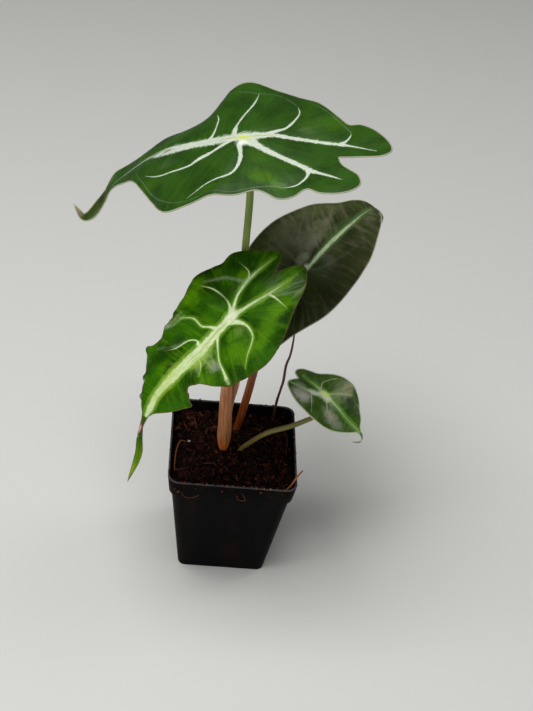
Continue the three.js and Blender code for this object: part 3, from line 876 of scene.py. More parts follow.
# %% Leaf finish
def leaf_finish(name, look):
    """The upper side of a blade."""
    finish = Finish(name, {
        "Specular IOR Level": look["shine"],
        "Coat Roughness": 0.25,
        "Coat IOR": 1.4,
    })
    flat = finish.attribute("flat")
    grain = finish.attribute("grain")
    margin = finish.attribute("margin", "Fac")
    clouds = finish.noise(flat, 16, 2, 0.5)
    cloud = finish.noise(flat, 4, 3, 0.6)
    speckle = finish.noise(flat, 1.0, 3, 0.65)
    lines = finish.noise(finish.stretch(grain, (5, 1.1, 9)), 1, 3, 0.6)
    hairs = finish.noise(finish.stretch(grain, (15, 2.2, 9)), 1, 2, 0.6)
    bands = finish.noise(finish.stretch(grain, (2.3, 1.3, 9)), 1, 2, 0.55)
    wander = finish.stretch(finish.noise_vector(flat, 3), (1.6, 1.6, 0))
    net = finish.cells(finish.shift(flat, wander), 2.6, "DISTANCE_TO_EDGE").fade(0.14, 0.02)

    def patch(s, v, size_s, size_v, share):
        """A soft patch at a place on the flat blade, with a cloudy edge."""
        scaled = finish.stretch(finish.shift(flat, (-s, -v, 0)), (1 / size_s, 1 / size_v, 1))
        length = finish.node("ShaderNodeVectorMath", {"operation": "LENGTH"}, (scaled,), "Value")
        return (length + (cloud - 0.5) * 1.4).fade(1.15, 0.25) * share

    tint = finish.paint(
        look["dark"],
        (look["green"], clouds.fade(0.35, 0.62)),
        *[(look["light"], patch(*glow)) for glow in look["glows"]],
        (look["light"], lines.fade(0.52, 0.8) * 0.3),
        (look["dark"], lines.fade(0.48, 0.25) * 0.5),
        (look["dark"], hairs.fade(0.5, 0.3) * 0.25),
        (look["light"], speckle.fade(0.55, 0.75) * 0.18),
        (look["band_colour"], bands.fade(0.48, 0.68) * look["bands"]),
        (look["light"], net * look["net"]),
    )

    fray = look["fray"]
    soft = look["soft"]
    halo = vein_mask(finish, "vein_0", fray * 1.6, 1.1, look["halo"], 0.4 + soft)
    halo = halo.most(vein_mask(finish, "vein_1", fray, 1.1, look["halo"] * 0.5, 0.3 + soft))
    faint = vein_mask(finish, "vein_faint", fray, soft=look["faint_soft"])
    outer = all_veins(finish, (fray, fray * 0.6, fray * 0.6), 1.0, (soft * 1.4, soft, soft))
    inner = all_veins(finish, (fray * 0.5, fray * 0.4, fray * 0.4), 0.8)
    midrib = finish.attribute("vein_0")
    strands = finish.noise(finish.stretch(midrib, (3.2, 0, 0.22)), 1, 2, 0.6)
    tone = finish.mix(look["vein"], look["vein_low"], strands.fade(0.45, 0.68))
    slits = finish.noise(finish.stretch(flat, (0.14, 0.75, 1)), 1, 2, 0.6)
    whole = 1 - slits.fade(0.47, 0.56) * patch(*look["slits_at"])
    middle = abs(finish.parts(midrib)[0]).fade(0.7, 0.2)
    broken = (lines * 0.5 + cloud * 0.5).fade(0.38, 0.56) * 0.4 + 0.6
    tint = finish.paint(
        tint,
        (look["halo_colour"], halo * look["halo_share"]),
        (look["vein"], faint * look["faint"]),
        (look["vein_low"], outer * look["vein_share"] * 0.85 * whole),
        (tone, inner * look["vein_share"] * whole),
        (look["line"], middle * patch(*look["line_at"])),
        # Spots are real marks, painted shade, painted glare and highlights, and painted light on
        # shaded parts.
        *[(colour(*shade), patch(*place) * broken) for *place, shade in look["spots"]],
        (look["rim"], margin.fade(0.7, 0.3) * look["rim_share"]),
    )

    rough = look["rough"] + (lines - 0.5) * 0.12 + outer * 0.08
    coat = look["coat"] - outer * look["coat"] * 0.5
    finish.dress({"Base Color": tint, "Roughness": rough, "Coat Weight": coat})
    finish.bump(speckle * 0.5 + lines + hairs * 0.6 - net * 0.5, 0.3, 0.45)
    return finish


# %% Underside finish
def underside_finish(name, look):
    """The lower side of a blade: paler and duller, with lighter ribs."""
    finish = Finish(name, {"Specular IOR Level": 0.4})
    flat = finish.attribute("flat")
    clouds = finish.noise(flat, 8, 3, 0.55)
    streaks = finish.noise(finish.stretch(finish.attribute("grain"), (5.5, 1.2, 9)), 1, 3, 0.6)
    tint = finish.paint(
        look["under_dark"],
        (look["under"], clouds.fade(0.35, 0.65)),
        (look["under_rib"], all_veins(finish, (0.2, 0.2, 0.2)) * 0.8),
        (look["rim"], finish.attribute("margin", "Fac").fade(0.7, 0.3) * 0.6),
    )
    finish.dress({"Base Color": tint, "Roughness": 0.55 + (streaks - 0.5) * 0.15})
    finish.bump(streaks + clouds, 0.2, 0.3)
    return finish


# %% [markdown]
# ## Colours of each blade
# All four blades start from one plain look, and each changes what is its own. A glow or a spot
# is a row of its place along and across the blade, its reach either way and its share. A spot
# has a colour as well.

# %% The plain look
NOWHERE = (0, 0, 1, 1, 0)
PLAIN_LOOK = {
    "fray": 0.8,
    "soft": 0.25,
    "faint": 0.12,
    "faint_soft": 0.3,
    "net": 0.07,
    "bands": 0.25,
    "halo": 0.4,
    "halo_share": 0.3,
    "vein_share": 0.92,
    "rim_share": 0.75,
    "rough": 0.44,
    "coat": 0.04,
    "shine": 0.1,
    "line": colour(176, 186, 70),
    "line_at": NOWHERE,
    "slits_at": NOWHERE,
    "under": colour(70, 94, 52),
    "under_dark": colour(54, 78, 40),
    "under_rib": colour(126, 146, 98),
}
print("values of the plain look:", len(PLAIN_LOOK))

# %% Colours of the top blade
TOP_LOOK = PLAIN_LOOK | {
    "dark": colour(32, 64, 12),
    "green": colour(44, 82, 15),
    "light": colour(68, 112, 12),
    "vein": colour(214, 222, 206),
    "vein_low": colour(182, 196, 172),
    "halo_colour": colour(84, 116, 66),
    "band_colour": colour(58, 94, 34),
    "faint": 0.1,
    "fray": 1.2,
    "soft": 0.35,
    "rim": colour(186, 186, 160),
    "line_at": (0, 0, 26, 8, 0.6),
    "slits_at": (53, -1.6, 12, 3.6, 1.0),
    "glows": [
        (-12, 10, 9, 6, 0.3), (-19, 21, 10, 5, 0.9), (-27, 24, 6, 4, 0.5), (48, 20, 12, 5, 0.3),
        (-38, -22, 11, 7, 0.5), (57, -30, 8, 5, 0.5), (-26, -17, 8, 5, 0.35), (10, 32, 8, 3, 0.4),
    ],
    # The pale spot at 99 along, by the tail's twist, is a painted highlight.
    "spots": [
        (2, 0, 7, 3, 0.85, (208, 222, 150)), (1.5, 0, 3, 1.6, 0.8, (206, 214, 70)),
        (0, 4, 4, 2.6, 0.75, (250, 252, 240)), (66, -2.4, 15, 3.6, 0.5, (74, 104, 62)),
        (-30, 2, 12, 5, 0.35, (30, 58, 16)), (-25.6, -13.2, 7, 3, 0.16, (120, 142, 104)),
        (-28.4, 22.6, 5, 2.4, 0.2, (140, 160, 120)), (41.7, 11.6, 9, 3, 0.12, (120, 140, 104)),
        (113, 0, 22, 9, 0.8, (56, 70, 22)), (95, -5, 7, 2.5, 0.6, (112, 124, 88)),
        (100, 2, 5, 1.6, 0.8, (92, 84, 18)), (99, -2.4, 1.4, 0.9, 0.8, (190, 188, 160)),
        (104, -0.5, 5, 1.6, 0.85, (26, 32, 12)), (114, 2, 9, 1.6, 0.55, (104, 114, 72)),
        (130.5, 0, 8, 5, 0.95, (158, 138, 116)),
    ],
}
print("spots on the top blade:", len(TOP_LOOK["spots"]))

# %% Colours of the middle blade
MIDDLE_LOOK = PLAIN_LOOK | {
    "dark": colour(20, 54, 1),
    "green": colour(46, 96, 1),
    "light": colour(84, 136, 2),
    "vein": colour(220, 234, 190),
    "vein_low": colour(156, 186, 98),
    "halo_colour": colour(104, 152, 36),
    "band_colour": colour(96, 140, 10),
    "bands": 0.3,
    "soft": 0.6,
    "faint_soft": 1.0,
    "halo": 1.6,
    "halo_share": 0.6,
    "faint": 0.18,
    "fray": 0.7,
    "shine": 0.05,
    "coat": 0.0,
    "rim": colour(104, 84, 46),
    "rim_share": 0.5,
    "line": colour(160, 172, 40),
    "line_at": (14, 0, 24, 9, 0.55),
    "glows": [
        (2, -27, 8, 4, 0.6), (-8, 18, 8, 6, 0.5), (0, 21, 8, 4, 0.6), (10, 17, 9, 7, 0.7),
        (12, -26, 6, 4, 0.7), (-19, 13, 6, 3, 0.5), (42, -7, 7, 3, 0.5), (5, 9, 6, 4, 0.7),
        (-18, 15, 6, 5, 0.9), (-18, -12, 4, 4, 0.8), (8, -24, 6, 6, 0.7), (-24, 16, 5, 3, 0.7),
        (30, 15, 7, 6, 0.5), (44, 5, 8, 3, 0.4), (-10, -24, 5, 3, 0.4),
    ],
    "spots": [
        (25, 6, 9, 4, 0.6, (156, 188, 84)), (24, 11, 4, 3, 0.5, (160, 186, 96)),
        (23.1, 13.8, 3.6, 2.6, 0.6, (150, 154, 138)), (28, 4, 5, 2, 0.4, (150, 170, 40)),
        (2, 9, 3, 3, 0.35, (120, 130, 80)), (-36, -2, 9, 6, 0.5, (18, 48, 1)),
        (-19, -22, 9, 5, 0.55, (18, 46, 1)), (-20, -17, 6, 4, 0.4, (18, 48, 1)),
        (-5, -11, 9, 5, 0.75, (20, 52, 1)), (-10, -0.5, 6, 2.6, 0.75, (22, 58, 1)),
        (3, -15, 7, 4, 0.45, (30, 70, 1)), (8, 28, 14, 4, 0.55, (36, 82, 1)),
        (24, 24.5, 6, 4, 0.6, (34, 76, 1)), (38, -12, 9, 6, 0.85, (20, 50, 1)),
        (48, -14, 7, 4, 0.7, (20, 50, 1)), (28, -12, 6, 4, 0.6, (24, 60, 1)),
        (39, 11, 6, 4, 0.6, (28, 68, 1)), (51, 5, 5, 2.4, 0.5, (28, 68, 1)),
        # The grey patches on the lobes, at -26, -34 and -35 along, are painted sheen.
        (-26, 3, 7, 4, 0.3, (112, 132, 88)), (-34, 12, 6, 4, 0.28, (120, 138, 96)),
        (-30, 8, 9, 3, 0.5, (116, 160, 24)), (-29, -7, 8, 2.4, 0.5, (116, 160, 24)),
        (-18, 5, 10, 2.4, 0.5, (132, 172, 78)), (-18, -7.8, 10, 2.4, 0.45, (150, 184, 110)),
        (46, -0.2, 19, 4.4, 0.5, (172, 196, 74)), (0.5, 0, 5, 3.2, 0.85, (236, 240, 212)),
        (-35, 16.4, 11, 1.6, 0.45, (150, 160, 112)), (23, -22.4, 8, 1.8, 0.3, (174, 176, 118)),
        (27, -21.2, 2, 1.2, 0.4, (186, 190, 166)), (53.5, -11.8, 1.6, 0.9, 0.6, (206, 206, 190)),
        (60.5, -7.6, 1.6, 0.9, 0.6, (206, 206, 190)), (65.5, 0.6, 1.4, 2.0, 0.6, (206, 216, 180)),
        # The pink-white and white flecks on the tail's twist, at 74.5 and 79.6 along, are painted
        # highlights.
        (73.5, 0, 5, 5, 0.9, (96, 66, 44)), (74.5, -0.4, 3.2, 1.1, 0.95, (236, 196, 184)),
        (79.6, -0.6, 1.5, 0.9, 0.9, (226, 226, 214)), (94, 1.5, 15, 7, 0.95, (96, 136, 6)),
        (103, 1, 8, 3, 0.7, (146, 172, 44)), (88, 1.5, 8, 0.8, 0.5, (60, 92, 6)),
    ],
}
print("spots on the middle blade:", len(MIDDLE_LOOK["spots"]))

# %% Colours of the back blade
BACK_LOOK = PLAIN_LOOK | {
    "dark": colour(38, 47, 14),
    "green": colour(58, 68, 28),
    "light": colour(104, 110, 74),
    "vein": colour(212, 230, 186),
    "vein_low": colour(138, 172, 106),
    "halo_colour": colour(86, 112, 66),
    # The grey bands are partly the leaf's silvery bloom and partly painted glare.
    "band_colour": colour(130, 122, 106),
    "bands": 0.3,
    "soft": 0.55,
    "halo": 1.6,
    "halo_share": 0.45,
    "faint": 0.07,
    "faint_soft": 1.1,
    "vein_share": 0.85,
    "rim": colour(176, 178, 150),
    "rim_share": 0.9,
    "rough": 0.5,
    "shine": 0.08,
    "under": colour(108, 114, 88),
    "under_dark": colour(86, 92, 66),
    "glows": [
        (16, 9, 15, 6, 0.85), (27, 10, 11, 5, 0.8), (14, 22, 18, 9, 0.45), (36, 18, 14, 6, 0.35),
        (-14, 24, 12, 9, 0.5), (42, 13, 7, 4, 0.4),
    ],
    "spots": [
        # The first five grey spots are partly silvery bloom and partly painted glare.
        (20.3, 7.2, 7, 2.2, 0.4, (128, 120, 108)), (31, 9.7, 5, 2.0, 0.35, (122, 116, 104)),
        (8, 7.3, 6, 2.4, 0.35, (118, 112, 98)), (12.3, 17.3, 7, 3, 0.3, (110, 104, 92)),
        (18, 23, 7, 3, 0.2, (108, 104, 92)), (32, 21, 8, 3, 0.3, (60, 86, 48)),
        (2, -20, 24, 11, 0.4, (42, 50, 14)), (28, -14, 16, 8, 0.4, (34, 42, 12)),
        (34, -4.6, 9, 3, 0.5, (26, 34, 10)), (50, -9, 10, 6, 0.5, (34, 42, 18)),
        (20, -13, 22, 7, 0.35, (34, 42, 10)), (64, -5.6, 3, 2, 0.6, (142, 146, 126)),
        (59, -9.8, 3, 1.8, 0.5, (132, 138, 116)), (52, 8, 8, 5, 0.45, (46, 58, 32)),
        # The pale patches at 5, 16, 12, -6 and -17 along, and the whitened hub and midrib near it,
        # are painted light on parts in shadow; the hub is also pale of its own.
        (34, 3, 14, 2.5, 0.4, (74, 108, 54)), (5, 4.6, 7, 3.4, 0.9, (164, 170, 140)),
        (16, 5.6, 10, 4, 0.7, (134, 138, 112)), (12, 12, 14, 6, 0.45, (112, 114, 92)),
        (-6, 17, 24, 13, 0.5, (120, 126, 90)), (-17, 17, 14, 10, 0.65, (156, 162, 122)),
        (8, -0.9, 14, 1.3, 0.9, (232, 255, 200)), (1.6, 0.5, 3, 1.6, 0.95, (255, 255, 246)),
        (52, 0, 14, 2.6, 0.65, (74, 96, 58)), (36, 0, 10, 2.4, 0.25, (84, 108, 66)),
        (5, -6, 8, 1.6, 0.35, (64, 92, 46)), (73, 0, 10, 5, 0.85, (126, 126, 110)),
    ],
}
print("spots on the back blade:", len(BACK_LOOK["spots"]))

# %% Colours of the small blade
SMALL_LOOK = PLAIN_LOOK | {
    "dark": colour(34, 62, 5),
    "green": colour(60, 96, 10),
    "light": colour(100, 134, 34),
    "vein": colour(210, 222, 190),
    "vein_low": colour(150, 184, 112),
    "halo_colour": colour(108, 164, 48),
    "band_colour": colour(128, 134, 116),
    "bands": 0.28,
    "soft": 0.4,
    "halo": 1.3,
    "halo_share": 0.75,
    "vein_share": 0.7,
    "rim": colour(196, 208, 166),
    "rim_share": 0.9,
    "rough": 0.36,
    "coat": 0.06,
    "shine": 0.16,
    "glows": [(3, 12, 9, 4, 0.5), (-15, 4, 5, 3, 0.3), (6, 4, 6, 3, 0.7)],
    "spots": [
        # The pale grey and whitish patches on the lobes, beside the midrib and near the margin are
        # painted glare.
        (-10.5, -7.2, 6.8, 4.8, 0.9, (204, 198, 188)), (-13, -2.6, 5, 2.2, 0.6, (160, 166, 146)),
        (10.5, -7.6, 7.5, 4.6, 0.85, (172, 172, 150)), (17.5, -7, 4, 3, 0.6, (140, 150, 128)),
        (8, -3, 4, 2, 0.45, (140, 150, 120)), (9, 13, 5.5, 6, 0.85, (186, 182, 146)),
        (15, 8.5, 5, 3.4, 0.8, (30, 58, 8)), (21, 5.5, 4, 2.4, 0.6, (32, 62, 8)),
        (-1, -10, 5, 2.6, 0.5, (30, 58, 12)), (1, -5.5, 3, 1.6, 0.5, (36, 66, 14)),
        # The hub's pale yellow and white are its own colour, brightened further as painted light;
        # the white streak at -5.2 along is a painted highlight.
        (-12, 4.5, 4, 2.4, 0.4, (34, 64, 14)), (1.5, -0.8, 5.5, 3.2, 0.9, (244, 252, 222)),
        (0.7, 0.4, 3.6, 1.9, 0.95, (226, 250, 96)), (-5.2, -2.6, 4, 1.7, 0.95, (228, 230, 222)),
        (-3, 7.5, 9, 6, 0.5, (84, 126, 20)), (6, 3.4, 5, 3, 0.6, (150, 168, 116)),
        (7, 8, 5, 4, 0.75, (172, 180, 142)), (11, 4.5, 5, 3, 0.45, (112, 132, 78)),
        (20, -0.2, 9, 1.8, 0.6, (88, 136, 36)), (9, 18, 9, 1.6, 0.75, (176, 196, 140)),
        (22, 11.6, 4, 1.6, 0.6, (156, 180, 120)), (40, 0, 7, 4, 0.7, (74, 90, 38)),
    ],
}
print("spots on the small blade:", len(SMALL_LOOK["spots"]))

# %% The four blades
# Last come the grid's columns on each side, its steps from one edge row to the next, and how
# deep the crinkles and the swellings between the veins are, in millimetres.
BLADES = {
    "top_leaf": (TOP_LEAF, TOP_VEINS, TOP_FAINT_VEINS, TOP_LOOK, 66, 8, 0.35, 0.6),
    "middle_leaf": (MIDDLE_LEAF, MIDDLE_VEINS, MIDDLE_FAINT_VEINS, MIDDLE_LOOK, 60, 8, 0.6, 1.0),
    "back_leaf": (BACK_LEAF, BACK_VEINS, BACK_FAINT_VEINS, BACK_LOOK, 42, 10, 0.5, 0.5),
    "small_leaf": (SMALL_LEAF, SMALL_VEINS, SMALL_FAINT_VEINS, SMALL_LOOK, 34, 10, 0.25, 0.6),
}


def keep_piece(piece, finishes, slot, *nodes):
    """Dresses a finished piece, hides the solids it stands for and lets it ride."""
    dress_piece(piece, finishes)
    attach(piece, "root")
    if nodes:
        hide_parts(*nodes)


for node, (leaf, veins, faint_veins, look, *fineness) in BLADES.items():
    blade = build_blade(f"{node}_blade", leaf, veins, faint_veins, *fineness)
    finishes = [leaf_finish(node, look), underside_finish(f"{node}_underside", look)]
    keep_piece(blade, finishes, node, node)

# %% [markdown]
# ## Stalks
# A stalk is a soft rod that thins towards its leaf, with fine streaks along it. It is a grid
# rolled into a tube along a route of x, y, z and radius. The route keeps close to that of the
# solid, and then runs square into the blade's underside, where a real stalk swells a little
# before it meets the ribs.

# %% Routes
TOP_STALK = [
    (-4.2, 4.8, 48, 1.8), (-4.9, 3.2, 66, 1.9), (-5.2, 3.4, 84, 2.1), (-4.4, 4.6, 101, 2.2),
    (-2.6, 5.7, 116, 2.1), (-4, 6.5, 153, 2), (-6.2, 10.5, 193, 1.9), (-7.2, 13.6, 226, 1.8),
]
MIDDLE_STALK = [
    (-4.6, 4, 48, 1.4), (-5.2, 2, 63, 1.3), (-5.2, 1.7, 67, 1.9), (-5.4, 1.8, 71.5, 3.2),
    (-5.8, 1.9, 78, 3.9), (-6.2, 1.6, 88, 3.7), (-7.6, -0.5, 110, 3.2), (-8.9, -8, 138, 2.3),
    (-9, -15, 158, 2),
]
BACK_STALK = [
    (1.2, 16, 48, 1.8), (1.8, 18.4, 66, 1.8), (3.8, 19.5, 78, 2.1), (5.8, 20.5, 92, 2.2),
    (9.6, 23.5, 118, 2), (16.8, 28.5, 140, 1.8), (24.5, 34, 155, 1.7),
]
SMALL_STALK = [
    (2.6, 3, 52, 1.2), (4, 1.6, 67, 1.2), (9.6, 1, 75, 1.4), (18, 0, 83.6, 1.45),
    (29.2, -1.2, 90.4, 1.45), (36.6, -2, 95.8, 1.4), (42, -2.2, 101.2, 1.35),
]
DRY_STALK = [
    (23, 29, 56, 0.8), (23.2, 29.5, 68, 0.8), (23.7, 30, 81, 0.75), (25, 30.8, 90, 0.7),
    (25.8, 31.3, 96, 0.75), (26, 32, 106, 0.7), (27.4, 33, 112, 0.62), (28, 33.8, 118, 0.6),
    (28.2, 35, 129, 0.45),
]
print("the top stalk rises", TOP_STALK[-1][2] - TOP_STALK[0][2], "mm")

# %% From a route to a tube
ROUTE_STEPS = 12
STALK_SIDES = 28
RING_STEP = 1.4
TUBE_MERGE = 0.01
KNOT_DEPTH = 0.015
KNOT_PITCH = 6.5
# How far below the blade, and how wide next to the stalk's last point
STALK_ENDS = [(7, 1), (2.2, 1.05), (0.1, 1.35)]


def stalk_route(points, leaf):
    """The stalk's points, carried on into the blade's underside and swelling there."""
    if leaf is None:
        return points
    point, _, out, _ = blade_frame(leaf, np.array(0.0))
    return points + [(*(point - out * below), points[-1][3] * wide) for below, wide in STALK_ENDS]


def around(route, radius, angle, guide):
    """Points round a route, a radius away at each angle. Angle 0 lies square to the guide."""
    tangent = unit(np.gradient(route[:, :3], axis=0))
    side = unit(np.cross(guide, tangent))
    front = np.cross(tangent, side)
    return (
        route[:, None, :3]
        + radius[..., None] * np.cos(angle)[None, :, None] * side[:, None, :]
        + radius[..., None] * np.sin(angle)[None, :, None] * front[:, None, :]
    )


def roll_tube(name, route, ridges, ridge_depth):
    """A grid rolled into a closed tube along a route of x, y, z and radius."""
    rows = through(route, ROUTE_STEPS)
    lengths = distances(rows[:, :3])
    rings = int(lengths[-1] / RING_STEP)
    along = np.linspace(0, lengths[-1], rings + 1)
    ring = np.stack([np.interp(along, lengths, rows[:, column]) for column in range(4)], 1)
    angle = np.linspace(0, 2 * math.pi, STALK_SIDES + 1)
    radius = ring[:, 3:4] * (1 + ridge_depth * np.cos(ridges * angle))
    radius = radius * (1 + KNOT_DEPTH * np.sin(along / KNOT_PITCH))[:, None]
    radius[0] = 0
    radius[-1] = 0
    piece = add_grid(name, STALK_SIDES, rings)
    move_points(piece, around(ring, radius, angle, (0.0, 1.0, 0.0)).reshape(-1, 3))
    straight = np.stack((
        radius * np.cos(angle), radius * np.sin(angle), np.repeat(along[:, None], len(angle), 1)
    ), -1)
    store(piece, "straight", "FLOAT_VECTOR", straight)
    merge_points(piece, TUBE_MERGE)
    open_piece(piece)
    bpy.ops.mesh.normals_make_consistent(inside=False)
    bpy.ops.object.mode_set(mode="OBJECT")
    bpy.ops.object.shade_smooth()
    print(name, round(lengths[-1]), "mm long,", len(piece.data.polygons), "faces")
    return piece


# %% [markdown]
# ## Stalk finish
# Near the soil the stalks are pinkish tan, and the oldest tissue has gone orange-brown. Higher
# up they turn olive green. The base's colour turns into the top's between two heights, the
# foot's reaches up to a third one, and thin streaks and painted highlights run along the length.

# %% Stalk finish
def stalk_finish(name, look):
    finish = Finish(name, {"Specular IOR Level": 0.25, "Coat Roughness": 0.3})
    height = finish.parts(finish.place())[2]
    straight = finish.attribute("straight")
    fibres = finish.noise(finish.stretch(straight, (2.2, 2.2, 0.09)), 1, 3, 0.65)
    blotches = finish.noise(finish.stretch(straight, (0.5, 0.5, 0.12)), 1, 2, 0.5)
    wander = (blotches - 0.5) * 24
    low, high = look["turn"]
    foot = (height + wander * 0.5).fade(look["foot_to"] + 4, look["foot_to"] - 5)
    ribbons = finish.noise(finish.stretch(straight, (0.9, 0.9, 0.05)), 1, 2, 0.5)
    tint = finish.paint(
        colour(*look["base"]),
        (colour(*look["top"]), (height + wander).fade(low, high)),
        (colour(*look["foot"]), foot * blotches.fade(0.3, 0.5)),
        (colour(*look["streak"]), ribbons.fade(0.5, 0.34) * 0.45),
        # The shine colour is a painted highlight, laid in streaks along the stalk.
        (colour(*look["shine"]), ribbons.fade(0.54, 0.7) * 0.3),
        (colour(*look["streak"]), fibres.fade(0.5, 0.3) * 0.5),
        (colour(*look["shine"]), fibres.fade(0.55, 0.8) * 0.35),
    )
    rough = 0.46 + (fibres - 0.5) * 0.2
    finish.dress({"Base Color": tint, "Roughness": rough, "Coat Weight": 0.06})
    finish.bump(fibres, 0.3, 0.4)
    return finish


# %% Colours of each stalk
STALK_TINTS = ("base", "top", "turn", "foot", "foot_to", "streak", "shine")
STALK_LOOKS = {
    "green_stalk": (
        (190, 130, 96), (122, 142, 62), (112, 150), (150, 84, 36),
        72, (96, 106, 48), (172, 188, 112),
    ),
    "pink_stalk": (
        (194, 128, 84), (128, 116, 62), (128, 165), (240, 122, 0),
        76, (112, 70, 46), (236, 194, 160),
    ),
    "brown_stalk": (
        (152, 88, 50), (112, 104, 54), (130, 155), (156, 74, 10),
        98, (72, 36, 18), (206, 150, 112),
    ),
    "olive_stalk": (
        (124, 112, 54), (116, 120, 56), (80, 110), (112, 78, 40),
        70, (82, 74, 34), (152, 150, 88),
    ),
    "dry_stalk": (
        (84, 42, 30), (104, 56, 40), (80, 120), (60, 32, 24),
        74, (44, 22, 16), (132, 84, 62),
    ),
}
stalk_finishes = {
    name: stalk_finish(name, dict(zip(STALK_TINTS, look))) for name, look in STALK_LOOKS.items()
}
print("stalk finishes:", len(stalk_finishes))

# %% The five stalks
# Route, leaf, material slot, look, and how many ridges run along the stalk and how deep
STALKS = {
    "top_stalk": (TOP_STALK, TOP_LEAF, "green_stalk", "green_stalk", 5, 0.02),
    "middle_stalk": (MIDDLE_STALK, MIDDLE_LEAF, "pink_stalk", "pink_stalk", 3, 0.04),
    "back_stalk": (BACK_STALK, BACK_LEAF, "brown_stalk", "brown_stalk", 4, 0.03),
    "small_stalk": (SMALL_STALK, SMALL_LEAF, "green_stalk", "olive_stalk", 4, 0.03),
    "dry_stalk": (DRY_STALK, None, "dry_stalk", "dry_stalk", 3, 0.15),
}

for node, (points, leaf, slot, look, ridges, depth) in STALKS.items():
    stalk = roll_tube(f"{node}_rod", stalk_route(points, leaf), ridges, depth)
    keep_piece(stalk, [stalk_finishes[look]], slot, node)

# %% [markdown]
# ## Soil
# Coir is a loose mix of dark brown crumbs and reddish threads. The bed is a fine grid whose
# points are lifted into hundreds of rounded crumbs, each with its own tone. Its edge is extruded
# down to the pot's floor. Single crumbs and threads are then strewn over it.

# %% The form of the bed
SOIL_LEVEL = 67.3
SOIL_FRONT_RISE = 2.5
SOIL_WALL_DIP = 2
SOIL_DIP_START = 20
SOIL_HALF = 33.0
CRUMB_PITCH = 2.1
GAP_FLOOR = -1.6

rng = np.random.default_rng(11)


def soil_level(x, y):
    """The bed's mean height: higher at the front and sunk along the left wall."""
    front = np.maximum(0, -y / SOIL_HALF)
    wall = np.maximum(0, (-x - SOIL_DIP_START) / (SOIL_HALF - SOIL_DIP_START))
    return SOIL_LEVEL + SOIL_FRONT_RISE * front - SOIL_WALL_DIP * wall


def round_corners(x, y, half, corner):
    """Draws the corners of a square of points in to a radius."""
    over_x = np.maximum(np.abs(x) - (half - corner), 0)
    over_y = np.maximum(np.abs(y) - (half - corner), 0)
    both = (over_x > 0) & (over_y > 0)
    length = np.maximum(np.hypot(over_x, over_y), 1e-9)
    shrink = np.where(both, np.maximum(over_x, over_y) / length, 1)
    new_x = np.where(both, np.sign(x) * (half - corner + over_x * shrink), x)
    new_y = np.where(both, np.sign(y) * (half - corner + over_y * shrink), y)
    return new_x, new_y


def crumb_field(x, y):
    """Height and tone of a bed of rounded crumbs of mixed size."""
    height = np.full(x.shape, GAP_FLOOR)
    tone = np.zeros(x.shape)
    steps = np.arange(-SOIL_HALF, SOIL_HALF + CRUMB_PITCH, CRUMB_PITCH)
    for centre_x in steps:
        for centre_y in steps:
            at_x = centre_x + rng.uniform(-1.2, 1.2)
            at_y = centre_y + rng.uniform(-1.2, 1.2)
            size = rng.uniform(0.8, 2.1)
            lift = rng.uniform(-1.1, 0.2)
            lean = rng.uniform(-0.35, 0.35, 2)
            squash = rng.uniform(0.6, 1.6)
            turn = rng.uniform(0, math.pi)
            shade = rng.uniform(0, 1)
            dx, dy = x - at_x, y - at_y
            u = (dx * math.cos(turn) + dy * math.sin(turn)) * squash
            w = (dy * math.cos(turn) - dx * math.sin(turn)) / squash
            dome = np.sqrt(np.maximum(size**2 - u**2 - w**2, 0))
            top = lift + 0.8 * dome + lean[0] * dx + lean[1] * dy
            wins = (dome > 0) & (top > height)
            height = np.where(wins, top, height)
            tone = np.where(wins, shade, tone)
    return height, tone


# %% Soil bed
SOIL_CORNER = 4.5
SOIL_CELLS = 176
GRIT = 0.09

bed = add_grid("soil_bed", SOIL_CELLS, SOIL_CELLS)
flat = np.array([vertex.co[:2] for vertex in bed.data.vertices]) * 2 * SOIL_HALF
bed_x, bed_y = round_corners(flat[:, 0], flat[:, 1], SOIL_HALF, SOIL_CORNER)
crumb_height, crumb_tone = crumb_field(bed_x, bed_y)
grit = rng.normal(0, GRIT, len(bed_x))
bed_z = soil_level(bed_x, bed_y) + crumb_height + grit
move_points(bed, np.stack((bed_x, bed_y, bed_z), 1))
store(bed, "tone", "FLOAT", crumb_tone)
store(bed, "depth", "FLOAT", crumb_height)
print("soil between", round(bed_z.min(), 1), "and", round(bed_z.max(), 1), "mm")

# %% The bed's sides and underside
# Each step down the pot's inner wall: its size next to the bed's, and its height
SOIL_SIDES = [(0.988, 63.8), (0.952, 63.3), (0.722, 1.7)]


def extrude_to(grow, z):
    """Extrudes what is selected to a height, growing or shrinking it about the pot's axis."""
    bpy.ops.mesh.extrude_region_move(TRANSFORM_OT_translate={"value": (0, 0, 0)})
    bpy.ops.transform.resize(value=(grow, grow, 0), center_override=(0, 0, z * MM))


open_piece(bed, "EDGE")
bpy.ops.mesh.region_to_loop()
reached = 1
for size, z in SOIL_SIDES:
    extrude_to(size / reached, z)
    reached = size
bpy.ops.mesh.edge_face_add()
bpy.ops.object.mode_set(mode="OBJECT")
bpy.ops.object.shade_smooth()
print("soil bed:", len(bed.data.polygons), "faces")

# %% [markdown]
# ## Soil finish
# Coir is nearly black, and painted shade darkens it further in the gaps between crumbs. Each
# crumb has a tone of its own, from black-brown to the red-brown of a dry chip. Clumps a few
# crumbs wide run redder or darker, and a fine speckle lies over it all.

